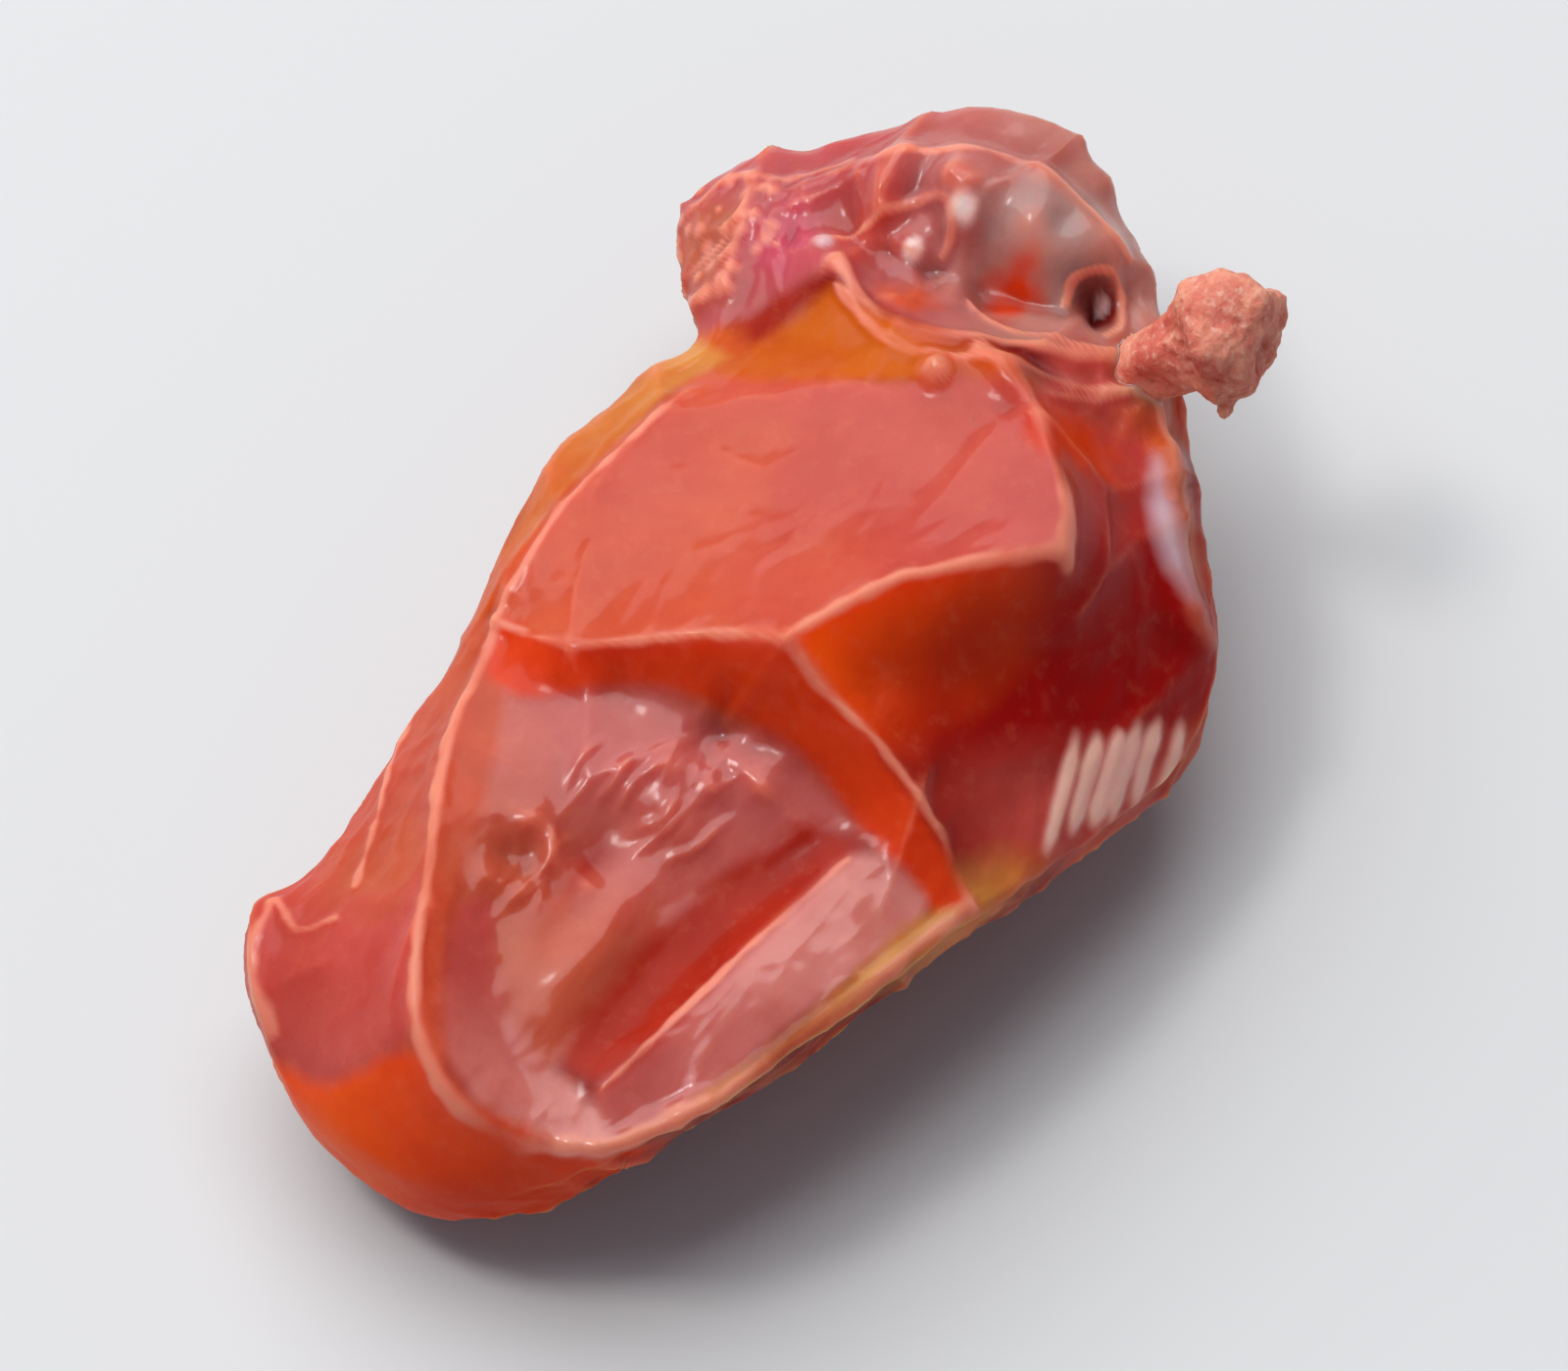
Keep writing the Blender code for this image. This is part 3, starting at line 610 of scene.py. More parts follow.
NEAR_RIM = [
    (-0.75, -3.85, 2.6), (-0.45, -4.08, 2.5), (0.0, -4.18, 2.25), (0.6, -3.93, 1.95), (0.98, -3.66, 1.95),
    (1.35, -3.15, 2.1),
]
NEAR_RIM_WIDTH = 0.1
NEAR_RIM_RISE = 0.07
NEAR_RIM_PALENESS = 0.9
print("crests:", len(CRESTS) + len(EXTRA_CRESTS) + 1)

# %% Raise the crests
rim_away = line_distance(places, NEAR_RIM, CREST_REACH * NEAR_RIM_WIDTH) + CREST_WAVER * waviness
near_rim = np.exp(-((rim_away / NEAR_RIM_WIDTH) ** 2))
relief += NEAR_RIM_RISE * near_rim
# The crest number makes the skin paler in the material: on the crumbs that is their own dry colour, and on
# the rim and the crests it is partly the thin skin and partly a painted highlight.
crest = np.maximum(CRUMB_PALENESS * crumbs, NEAR_RIM_PALENESS * near_rim)
crest_lines = [(width, tall, UPPER_FOLDS[name]) for name, (width, tall) in CRESTS.items()]
for width, tall, points in [*crest_lines, *EXTRA_CRESTS]:
    flat_points = np.array(points)[:, :2]
    away = line_distance(places, flat_points, CREST_REACH * width) + CREST_WAVER * waviness
    raised = upper * np.exp(-((away / width) ** 2)) * (CREST_SHARE + CREST_UNEVENNESS * long_ripple)
    relief += tall * raised
    crest = np.maximum(crest, raised)
print("relief from", relief.min().round(2), "to", relief.max().round(2), "mm")

# %% [markdown]
# ## Gathers
#
# Where the skin had to shrink along an edge it is gathered, like cloth on a thread. Each family of fine
# folds runs from one line to another, a little bent and unevenly spaced. A family is (count, width, height,
# first line, second line), but the pleats on the right flank have each of their settings named. The
# material tints them near white as a painted glint, so we keep them as a number of their own for the
# material.

# %% Gather the skin into fine folds
STRIPES = {
    "count": 6, "width": 0.055, "tall": 0.05, "bend": 0.01, "uneven": 0.25, "trimmed": 0.16,
    "start": [(2.12, 0.95), (2.75, 1.85)], "end": [(2.42, -0.05), (2.92, 1.1)],
}
GATHERS = [
    (8, 0.07, 0.018, [(-2.0, 0.0), (-1.7, 1.9)], [(-0.9, 0.3), (-0.4, 2.0)]),
    (4, 0.05, 0.03, [(-2.6, 3.0), (-1.4, 3.3)], [(-2.6, 3.9), (-1.8, 4.3)]),
    (5, 0.06, 0.012, [(-1.5, -1.9), (-0.8, -3.3)], [(-2.4, -1.6), (-2.2, -3.2)]),
    (4, 0.08, 0.02, [(0.5, 0.2), (1.5, 1.4)], [(1.5, -0.1), (2.2, 0.9)]),
    (6, 0.04, 0.03, [(-0.9, -1.0), (0.5, -0.8)], [(-0.9, -1.7), (0.1, -1.7)]),
]
GATHER_REACH = 4
GATHER_WAVER = 0.15
GATHER_FADE = 1.7
GATHER_SEED = 11
LONG_RIPPLE_RISE = 0.02
SHORT_RIPPLE_RISE = 0.006


def gather(count, width, tall, start, end, bend=0.12, uneven=0.6, trimmed=0.25):
    """A family of fine folds from one line to another, unevenly spaced and a little bent."""
    height = np.zeros(len(places))
    starts = np.array(start)
    ends = np.array(end)
    for share in (np.arange(count) + 0.5 + uneven * random.uniform(-0.5, 0.5, count)) / count:
        first = starts[0] + share * (starts[1] - starts[0])
        last = ends[0] + share * (ends[1] - ends[0])
        trim = random.uniform(0, trimmed, 2)
        first, last = first + trim[0] * (last - first), last + trim[1] * (first - last)
        middle = (first + last) / 2 + random.normal(0, bend, 2)
        away = line_distance(places, [first, middle, last], GATHER_REACH * width)
        away += GATHER_WAVER * width * short_ripple
        from_middle = from_spot(*middle, np.linalg.norm(last - first) / 2)
        fade = np.clip(2 - GATHER_FADE * from_middle, 0, 1)
        height += tall * random.uniform(0.5, 1) * fade * np.exp(-((away / width) ** 2))
    return height


random = np.random.default_rng(GATHER_SEED)
stripes = gather(**STRIPES) * upper
gathers = sum(gather(*family) for family in GATHERS) * upper + stripes
relief += gathers
relief += LONG_RIPPLE_RISE * long_ripple + SHORT_RIPPLE_RISE * short_ripple
places += normals * relief[:, None]
places[:, 2] = np.maximum(places[:, 2], 0)
print("gathers stand up to", gathers.max().round(3), "mm")

# %% [markdown]
# ## Where the skin folds in and out
#
# The colour of the skin follows its shape: the material makes it darker in the hollows of the fine folds,
# and paler on their rises and on the crests. We smooth the mesh by rows and columns, and keep how far each
# point lies above or below the smooth version as a number on the mesh, which the material can read.

# %% Read the folds off the mesh
SMOOTHING_ROUNDS = 20


def smoothed(laid, rounds):
    """The laid out values after each has become the mean of itself and its neighbours several times."""
    for _ in range(rounds):
        side = (np.roll(laid, 1, axis=1) + np.roll(laid, -1, axis=1)) / 2
        ends = np.concatenate([laid[:1], laid, laid[-1:]])
        along = (ends[:-2] + ends[2:]) / 2
        laid = laid / 3 + side / 3 + along / 3
    return laid


normals = move_points(berry_bm, places)
laid = by_rows(places)
fine_fold = np.sum((places - smoothed(laid, SMOOTHING_ROUNDS)[ring, strip]) * normals, axis=1)
print("fine folds:", np.percentile(fine_fold, (2, 50, 98)).round(3), "mm")

# %% [markdown]
# ## The colours of the panels
#
# The skin isn't one red. It is amber where it is thin over air and deep red where the dried pulp is thick.
# The bright orange on steep faces and the red in the shaded valley are a painted glow, for the light that
# comes through the skin, and the mauve or hazy pink on the panels that face the window is a painted
# reflection of the window, under the real waxy gloss. As the colour changes at the folds, we give each
# panel its outline seen from above, with a pigment at one end and another at the other, and paint the
# points inside. Sheen, from 0 to 1, says how waxy it is.
#
# A spot is (x, y, radius, pigment, sheen). The leaf is a painted reflection of the window: a narrow pale
# patch along the fold below the stalk. The steep facet of the near end is outlined as it is seen from the
# front, in places (x, height), and its bright pigments are a painted glow in its shade.

# %% Mix the pigments
def colour(red, green, blue):
    """A colour given as it looks on a screen, from 0 to 255, as the light that shaders reckon with."""
    screen = np.array([red, green, blue]) / 255
    light = np.where(screen > 0.04045, ((screen + 0.055) / 1.055) ** 2.4, screen / 12.92)
    return (*light, 1)


# Some of these paint light: the near-white and pale lilac ones are painted glints, mauve and pale mauve a
# painted reflection of the window, and flame, cherry and ember, where they fill the valley and the near
# end, a painted glow of light coming through the skin.
PIGMENTS = {
    "flesh": colour(178, 40, 14), "orange": colour(204, 84, 24), "ember": colour(222, 62, 10),
    "amber": colour(204, 92, 8), "gold": colour(212, 136, 62), "wine": colour(124, 8, 6),
    "brick": colour(170, 36, 18), "cherry": colour(170, 10, 6), "flame": colour(255, 88, 8),
    "clay": colour(196, 86, 56), "peach": colour(212, 88, 54),
    "rose": colour(200, 78, 68), "mauve": colour(198, 92, 84), "pale mauve": colour(216, 130, 118),
    "rosewood": colour(188, 84, 84), "dusk": colour(188, 124, 112), "magenta": colour(200, 74, 92),
    "cream": colour(206, 130, 104), "glint lavender": colour(216, 178, 186),
    "ash": colour(178, 138, 130), "glint white": colour(255, 232, 226), "biscuit": colour(190, 96, 72),
}
print("pigments:", len(PIGMENTS))

# %% Outline the panels
PANELS = [
    {
        "outline": [(-2.1, -0.5), (-1.85, -1.65), (-1.3, -2.9), (-0.8, -3.8), (-1.0, -4.5), (-2.2, -4.7),
                    (-3.2, -3.8), (-3.0, -1.5), (-2.9, -0.3)],
        "from": (-2.2, -1.0, "clay"), "to": (-1.7, -3.5, "rose"), "sheen": 0.2,
    },
    {
        "outline": [(-1.7, 2.35), (-1.92, 1.8), (-2.03, 1.1), (-2.17, 0.5), (-2.2, -0.4), (-3.0, -0.5),
                    (-3.0, 1.1), (-2.7, 2.4)],
        "from": (-2.3, 2.0, "gold"), "to": (-2.3, -0.3, "orange"), "sheen": 0.4,
    },
    {
        "outline": [(-2.1, -0.5), (-1.35, -0.55), (-0.5, -0.15), (0.15, 0.05), (0.6, 0.75), (0.9, 1.05),
                    (1.6, 1.7), (1.5, 2.0), (1.2, 2.35), (0.6, 2.85), (-0.1, 2.6), (-0.55, 2.38),
                    (-1.75, 2.15), (-1.95, 1.7), (-2.05, 1.1), (-2.18, 0.5), (-2.2, -0.2)],
        "from": (-1.6, 0.0, "peach"), "to": (0.9, 2.1, "rose"), "sheen": 0.36,
    },
    {
        "outline": [(-1.3, 3.1), (-1.75, 2.12), (-0.55, 2.4), (-0.15, 2.65), (-0.55, 2.95), (-0.9, 3.05)],
        "from": (-1.4, 2.4, "amber"), "to": (-0.5, 2.8, "amber"), "sheen": 0.1,
    },
    # Painted glow: the flame and cherry of this valley stand in for light coming through the main ridge
    # into its shade.
    {
        "outline": [(0.15, 0.05), (0.6, 0.75), (0.9, 1.05), (1.6, 1.7), (1.95, 2.2), (2.5, 2.35),
                    (2.95, 1.7), (2.2, 0.75), (1.4, -0.15), (0.5, -0.2)],
        "from": (0.5, 0.55, "flame"), "to": (1.6, 0.35, "cherry"), "sheen": 0,
    },
    {
        "outline": [(1.2, -0.25), (1.75, 0.35), (2.2, 0.8), (3.0, 1.7), (3.0, 0.6), (2.8, -0.2),
                    (2.4, -0.75), (2.0, -0.55)],
        "from": (1.5, 0.3, "brick"), "to": (2.4, 0.3, "rose"), "sheen": 0.25, "edge": 0.22,
    },
    {
        "outline": [(2.0, -0.6), (2.3, -0.1), (2.9, 0.1), (2.8, -0.7), (2.35, -0.85)],
        "from": (2.2, -0.5, "gold"), "to": (2.5, 0.0, "amber"), "sheen": 0.3, "edge": 0.15,
    },
    {
        "outline": [(1.62, 1.75), (1.25, 2.4), (0.65, 2.9), (0.75, 3.3), (1.2, 3.4), (1.6, 3.15),
                    (1.8, 2.85), (2.1, 2.5), (2.4, 2.25), (1.95, 1.85)],
        "from": (0.8, 3.1, "rose"), "to": (2.0, 2.2, "cherry"), "sheen": 0.05,
    },
    {
        "outline": [(-2.1, -0.5), (-1.35, -0.55), (-0.5, -0.15), (0.15, 0.05), (1.2, -0.25), (2.0, -0.55),
                    (2.3, -0.75), (2.1, -0.95), (1.2, -0.68), (0.35, -0.42), (-0.75, -0.57), (-1.5, -1.0),
                    (-2.0, -0.95)],
        "from": (-1.0, -0.5, "ember"), "to": (1.2, -0.4, "ember"), "sheen": 0.22,
    },
    # The mauve of the plateau is a painted reflection of the window.
    {
        "outline": [(-1.75, -1.0), (-1.5, -1.0), (-0.75, -0.57), (0.35, -0.42), (1.15, -0.66), (1.0, -0.85),
                    (0.6, -1.3), (0.42, -1.8), (0.26, -3.35), (-0.35, -3.5), (-0.9, -3.1), (-1.5, -2.0)],
        "from": (-0.2, -1.2, "mauve"), "to": (-0.6, -2.6, "clay"), "sheen": 0.7,
    },
    {
        "outline": [(-2.1, -0.5), (-1.95, -0.9), (-1.7, -1.1), (-1.35, -1.95), (-0.95, -3.05),
                    (-0.5, -3.85), (-0.65, -4.0), (-1.25, -2.95), (-1.85, -1.65)],
        "from": (-1.8, -1.2, "clay"), "to": (-0.8, -3.5, "peach"), "sheen": 0.2,
    },
    # The mauve and pale mauve of this facet are a painted reflection of the window.
    {
        "outline": [(0.57, -3.5), (0.84, -2.5), (1.04, -1.6), (1.25, -0.9), (1.75, -0.82), (1.98, -1.0),
                    (1.72, -1.9), (1.42, -2.8), (1.1, -3.45), (0.8, -3.72)],
        "from": (0.8, -3.2, "mauve"), "to": (1.3, -1.6, "pale mauve"), "sheen": 0.9,
    },
    # The pale mauve of this band is a painted reflection of the window.
    {
        "outline": [(-1.05, -2.75), (-0.9, -3.2), (-0.5, -3.85), (0.3, -4.15), (0.9, -3.85), (0.7, -3.6),
                    (0.35, -3.5), (-0.1, -3.4), (-0.5, -3.1), (-0.85, -2.6)],
        "from": (-0.7, -3.2, "rose"), "to": (0.4, -3.8, "pale mauve"), "sheen": 0.8,
    },
    {
        "outline": [(1.32, -0.72), (1.1, -1.6), (0.89, -2.5), (0.66, -3.3), (0.4, -3.45), (0.18, -3.25),
                    (0.26, -2.4), (0.44, -1.65), (0.78, -0.85)],
        "from": (0.9, -1.0, "brick"), "to": (0.2, -3.3, "flesh"), "sheen": 0, "edge": 0.09,
    },
    {
        "outline": [(-0.3, -1.7), (-0.32, -2.3), (-0.3, -2.75), (-0.42, -2.75), (-0.55, -2.3),
                    (-0.5, -1.7)],
        "from": (-0.4, -1.8, "brick"), "to": (-0.3, -2.7, "clay"), "sheen": 0.2, "edge": 0.12,
    },
    {
        "outline": [(0.6, -4.15), (1.02, -3.65), (1.45, -2.75), (1.75, -1.85), (2.0, -0.95), (2.35, -0.75),
                    (2.25, -1.6), (1.95, -2.5), (1.6, -3.4), (1.1, -4.0)],
        "from": (0.8, -3.9, "clay"), "to": (1.8, -2.0, "gold"), "sheen": 0.4,
    },
    {
        "outline": [(-3.3, 3.0), (-2.2, 2.5), (-1.4, 3.2), (-0.6, 3.05), (-0.05, 3.15), (0.45, 3.45),
                    (1.0, 3.9), (1.2, 4.4), (0.3, 5.2), (-1.0, 5.5), (-2.4, 5.0), (-3.4, 4.0)],
        "from": (-1.5, 3.9, "rosewood"), "to": (0.0, 4.4, "dusk"), "sheen": 0.6,
    },
]
SPOTS = [
    (-2.5, 3.2, 0.42, "biscuit", 0.3),
    (-1.95, 3.4, 0.32, "magenta", 0.6),
    (-1.35, 3.75, 0.3, "rose", 0.6),
    (-0.05, 4.3, 0.42, "ash", 0.7),
    (-0.1, 3.82, 0.22, "ember", 0.1),
    (-0.75, 3.3, 0.2, "peach", 0.3),
    # The dark wine spot is painted shade in the pit beside the stalk.
    (0.5, 4.1, 0.2, "wine", 0.2),
    (-0.1, 2.68, 0.14, "orange", 0.4),
    (1.15, 3.6, 0.35, "peach", 0.3),
    (1.1, 2.75, 0.3, "ember", 0.05),
    (0.8, 3.45, 0.3, "rose", 0.3),
    (-1.8, -2.6, 0.45, "clay", 0.1),
]
# The leaf is a painted reflection of the window: a pale lilac glint along the fold below the stalk.
LEAF_GLINT = [
    (1.56, 3.2), (1.76, 3.04), (2.0, 2.82), (2.18, 2.62), (2.32, 2.46), (2.1, 2.52), (1.86, 2.68),
    (1.66, 2.92),
]
END_FACET = [
    (-2.3, 1.05), (-1.85, 1.22), (-1.3, 1.55), (-0.8, 2.2), (-0.45, 2.4), (0.0, 2.15), (0.6, 1.85),
    (1.0, 1.8), (1.5, 1.2), (0.8, 0.1), (-0.6, 0.0), (-2.2, 0.1), (-2.8, 0.6),
]
print("panels:", len(PANELS), "spots:", len(SPOTS))

# %% Measure how far inside an outline each point is
PANEL_EDGE = 0.06
OUTLINE_REACH = 4
LONG_BORDER_WAVER = 0.04
SHORT_BORDER_WAVER = 0.02


def signed_distance(places, outline):
    """How far each place lies inside a closed flat outline, or outside it as a negative number."""
    closed = [*outline, outline[0]]
    line = smooth_line(closed, LINE_STEP)
    x, y = places[:, 0], places[:, 1]
    inside = np.zeros(len(places), bool)
    for (x1, y1), (x2, y2) in zip(line, line[1:]):
        if y1 != y2:
            inside ^= ((y1 > y) != (y2 > y)) & (x < x1 + (x2 - x1) * (y - y1) / (y2 - y1))
    reach = OUTLINE_REACH * PANEL_EDGE
    away = np.minimum(line_distance(places, closed, reach), reach)
    return np.where(inside, away, -away)


waver = LONG_BORDER_WAVER * long_ripple + SHORT_BORDER_WAVER * short_ripple


def cover(outline, edge=PANEL_EDGE, seen=places):
    """1 inside an outline, 0 outside it, and a wavering soft border about twice as wide as its edge."""
    return np.clip(0.5 + (signed_distance(seen, outline) + waver) / (2 * edge), 0, 1)


print("points in the pale leaf:", np.sum(cover(LEAF_GLINT) > 0.5))

# %% Lay the ground colours
GROUND_SHEEN = 0.3
PATCH_SIZE = 1.3
PATCH_CONTRAST = 1.6
GLOW_SIZE = 0.9
GLOW_CONTRAST = 3
GLOW_DELAY = 0.4

patchy = np.clip(0.5 + PATCH_CONTRAST * ripple(places, PATCH_SIZE, 8), 0, 1)[:, None]
painted = (1 - patchy) * PIGMENTS["wine"] + patchy * PIGMENTS["flesh"]
sheen = np.full(len(places), GROUND_SHEEN)


def paint(share, pigment, waxy):
    """Covers a share of the old pigment and sheen at each point with new ones."""
    painted[:] = painted * (1 - share[:, None]) + pigment * share[:, None]
    sheen[:] = sheen * (1 - share) + waxy * share


glow = np.clip(GLOW_CONTRAST * ripple(places, GLOW_SIZE, 9) - GLOW_DELAY, 0, 1)
paint(glow, np.array(PIGMENTS["orange"]), GROUND_SHEEN)
print("mean ground:", painted.mean(axis=0).round(3))

# %% Paint the panels
PIGMENT_WAVER = 0.4
BORDER_TURN = 0.6
BORDER_STEEPNESS = 1.5
BORDER_WAVER = 0.7

topside = np.clip(BORDER_TURN + BORDER_STEEPNESS * np.sin(turn) + BORDER_WAVER * long_ripple, 0, 1)
for panel in PANELS:
    first = np.array(panel["from"][:2])
    way = np.array(panel["to"][:2]) - first
    along = (places[:, :2] - first) @ way / (way @ way) + PIGMENT_WAVER * long_ripple
    along = np.clip(along, 0, 1)[:, None]
    pigment = (1 - along) * PIGMENTS[panel["from"][2]] + along * PIGMENTS[panel["to"][2]]
    paint(cover(panel["outline"], panel.get("edge", PANEL_EDGE)) * topside, pigment, panel["sheen"])
print("mean after the panels:", painted.mean(axis=0).round(3))

# %% Paint the spots, the beads and the leaf-shaped glint
SPOT_EDGE = 0.5
SPOT_WAVER = 0.5
BEAD_SHEEN = 0.9
LEAF_GLINT_EDGE = 1.5 * PANEL_EDGE
LEAF_GLINT_SHEEN = 0.35

for x, y, radius, name, waxy in SPOTS:
    away = from_spot(x, y, radius) + SPOT_WAVER * short_ripple
    share = np.clip((1 + SPOT_EDGE - away) / (2 * SPOT_EDGE), 0, 1)
    paint(share * topside, np.array(PIGMENTS[name]), waxy)
# The near-white and pale lilac beads paint glints onto their bumps.
for x, y, radius, name in BEADS:
    paint(near_spots([(x, y, radius)]) * topside, np.array(PIGMENTS[name]), BEAD_SHEEN)
# The leaf paints a pale lilac glint along the fold.
paint(cover(LEAF_GLINT, LEAF_GLINT_EDGE) * topside, np.array(PIGMENTS["glint lavender"]), LEAF_GLINT_SHEEN)
print("mean after the spots:", painted.mean(axis=0).round(3))

# %% Paint the steep facet of the near end
END_STEEPNESS = 3
END_DELAY = 0.5
END_START = -3.3
END_FADE = 0.3
END_MIDDLE = 1.1
END_WAVER = 0.3

# Painted glow: this facet faces the camera in shade, and its flame and ember stand in for the light that
# comes through the skin.
facing = np.clip(-END_STEEPNESS * normals[:, 1] - END_DELAY, 0, 1)
facing *= np.clip((END_START - places[:, 1]) / END_FADE, 0, 1)
along = np.clip((places[:, 0] + END_MIDDLE) / END_MIDDLE + END_WAVER * long_ripple, 0, 1)[:, None]
pigment = (1 - along) * PIGMENTS["flame"] + along * PIGMENTS["ember"]
paint(cover(END_FACET, PANEL_EDGE, places[:, [0, 2]]) * facing, pigment, 0)
print("mean pigment:", painted.mean(axis=0).round(3))

# %% [markdown]
# ## The stub of stalk
#
# A short stub of dry stalk stays on the berry's shoulder: woody, rough and ribbed, thicker towards its
# broken end, with a pit where the pith was. It starts as another ball, swept along a bent middle line. The
# fine roughness is noise in three sizes, (height, size, seed), that pushes each point in or out.

# %% Shape the stub of stalk
STALK_LINE_STEP = 0.02
STALK_SEGMENTS = 160
STALK_RINGS = 140
STALK_LINE = [(0.95, 3.75, 2.25), (1.25, 3.98, 2.65), (1.6, 4.16, 2.92), (1.95, 4.22, 2.98)]
STALK_RADII = [0.3, 0.26, 0.34, 0.54, 0.52]
STALK_END_FULLNESS = 4
STALK_LUMPS = 0.16
STALK_LUMP_LENGTHS = 1.4
STALK_LUMP_TWIST = 7
STALK_RIBS = 5
STALK_RIB_HEIGHT = 0.06
STALK_RIB_TWIST = 3
PITH_DEPTH = 0.14
PITH_RADIUS = 0.16
BARK_RIPPLES = [(0.05, 0.25, 4), (0.025, 0.1, 5), (0.012, 0.05, 6)]
SMOOTH_FOOT = 0.3
FOOT_FADE = 0.2


def stalk_mesh(segments, rings, extra, rough):
    """The stub of stalk, lumpy and ribbed with a hollow in its broken end, and extra thick all over."""
    bm, polar, turn = ball(segments, rings)
    share = (1 - np.cos(polar)) / 2
    line = smooth_line(STALK_LINE, STALK_LINE_STEP)
    spots = share * (len(line) - 1)
    middle = np.column_stack([np.interp(spots, np.arange(len(line)), line[:, k]) for k in range(3)])
    slopes = np.gradient(line, axis=0)
    along = np.column_stack([np.interp(spots, np.arange(len(line)), slopes[:, k]) for k in range(3)])
    along /= np.linalg.norm(along, axis=1)[:, None]
    side = np.cross(along, (0, 0, 1))
    side /= np.linalg.norm(side, axis=1)[:, None]
    lift = np.cross(side, along)
    radius = np.interp(share, np.linspace(0, 1, len(STALK_RADII)), STALK_RADII)
    radius *= (1 - np.abs(2 * share - 1) ** STALK_END_FULLNESS) ** (1 / STALK_END_FULLNESS)
    radius *= 1 + STALK_RIB_HEIGHT * np.cos(STALK_RIBS * turn + STALK_RIB_TWIST * share)
    waves = np.sin(2 * math.pi * STALK_LUMP_LENGTHS * share + 2 * np.sin(turn))
    radius *= 1 + STALK_LUMPS * waves * np.sin(2 * turn + STALK_LUMP_TWIST * share)
    around = np.cos(turn)[:, None] * side + np.sin(turn)[:, None] * lift
    pith = np.where(share > 0.5, PITH_DEPTH * np.exp(-((radius / PITH_RADIUS) ** 2)), 0)
    places = middle + radius[:, None] * around - pith[:, None] * along
    normals = move_points(bm, places)
    if rough:
        lumps = sum(tall * ripple(places, size, seed) for tall, size, seed in BARK_RIPPLES)
        extra = extra + lumps * np.clip((share - SMOOTH_FOOT) / FOOT_FADE, 0, 1)
    move_points(bm, places + normals * np.broadcast_to(extra, len(places))[:, None])
    return bm


stalk_bm = stalk_mesh(STALK_SEGMENTS, STALK_RINGS, 0, True)
print("stalk points:", len(stalk_bm.verts))

# %% [markdown]
# ## From lists of points to objects
#
# The two meshes become objects now. The solids sit with the middle of their box over the origin, so the
# fine skin moves by the step that brings the middle of its own box there. The stalk's socket is cut with a
# Boolean, by a slightly fatter copy of the stalk, so that the two pieces stay clear of each other.

# %% Make the objects
def make_object(name, bm, numbers):
    """A smooth shaded object from a bmesh, with named numbers on its points."""
    mesh = bpy.data.meshes.new(name)
    bm.to_mesh(mesh)
    bm.free()
    mesh.shade_smooth()
    for key, values in numbers.items():
        kind, field = ("FLOAT", "value") if values.ndim == 1 else ("FLOAT_COLOR", "color")
        mesh.attributes.new(key, kind, "POINT").data.foreach_set(field, values.astype(np.float32).ravel())
    made = bpy.data.objects.new(name, mesh)
    bpy.context.scene.collection.objects.link(made)
    return made


stripe = stripes / STRIPES["tall"]
numbers = {"painted": painted, "sheen": sheen, "crest": crest, "stripe": stripe, "fine_fold": fine_fold}
berry = make_object("berry_skin", berry_bm, numbers)
stalk = make_object("stalk_stub", stalk_bm, {})
print("skin points:", len(berry.data.vertices), "stalk points:", len(stalk.data.vertices))

# %% Move them over the solids and cut the socket
SOCKET_PLAY = 0.008
SOCKET_SEGMENTS = 48
SOCKET_RINGS = 40

socket_bm = stalk_mesh(SOCKET_SEGMENTS, SOCKET_RINGS, SOCKET_PLAY, False)
socket = make_object("stalk_socket", socket_bm, {})
corners = np.array([vertex.co for piece in (berry, stalk) for vertex in piece.data.vertices])
middle = (corners.min(axis=0) + corners.max(axis=0)) / 2
cad_middle = (np.array(cad_box[0]) + np.array(cad_box[1])) / 2
step = Matrix.Translation((cad_middle[0] - middle[0], cad_middle[1] - middle[1], 0))
for piece in (berry, stalk, socket):
    piece.data.transform(step)
print("moved by", [round(value / MM, 3) for value in step.translation], "mm")
cut = berry.modifiers.new("stalk socket", "BOOLEAN")
cut.operation = "DIFFERENCE"
cut.object = socket
evaluated = berry.evaluated_get(bpy.context.evaluated_depsgraph_get())
cut_mesh = bpy.data.meshes.new_from_object(evaluated)
berry.modifiers.clear()
berry.data = cut_mesh
bpy.data.objects.remove(socket)
print("skin faces after the cut:", len(berry.data.polygons))

# %% [markdown]
# ## Shader maths in plain Python
#
# A material is a graph of nodes. Wiring it by hand hides the sums, so this small class lets us write them
# as Python: adding or multiplying two values adds the Math node for it. Every other node comes from one
# method that takes its type, its settings, and what goes into its sockets.

# %% Wrap shader sockets so that sums can be written as sums
class Value:
    """One output of a shader node. Python's signs on it add Math nodes to the same material."""

    def __init__(self, finish, socket):
        self.finish = finish
        self.socket = socket

    def sum_with(self, operation, first, second):
        return self.finish.node("ShaderNodeMath", {"operation": operation}, {0: first, 1: second})

    def __add__(self, other):
        return self.sum_with("ADD", self, other)

    __radd__ = __add__

    def __sub__(self, other):
        return self.sum_with("SUBTRACT", self, other)

    def __rsub__(self, other):
        return self.sum_with("SUBTRACT", other, self)

    def __mul__(self, other):
        return self.sum_with("MULTIPLY", self, other)

    __rmul__ = __mul__

    def smooth(self, low, high):
        """0 below low, 1 above high and a soft step between."""
        return self.finish.node(
            "ShaderNodeMapRange",
            {"interpolation_type": "SMOOTHSTEP"},
            {"Value": self, "From Min": low, "From Max": high},
        )


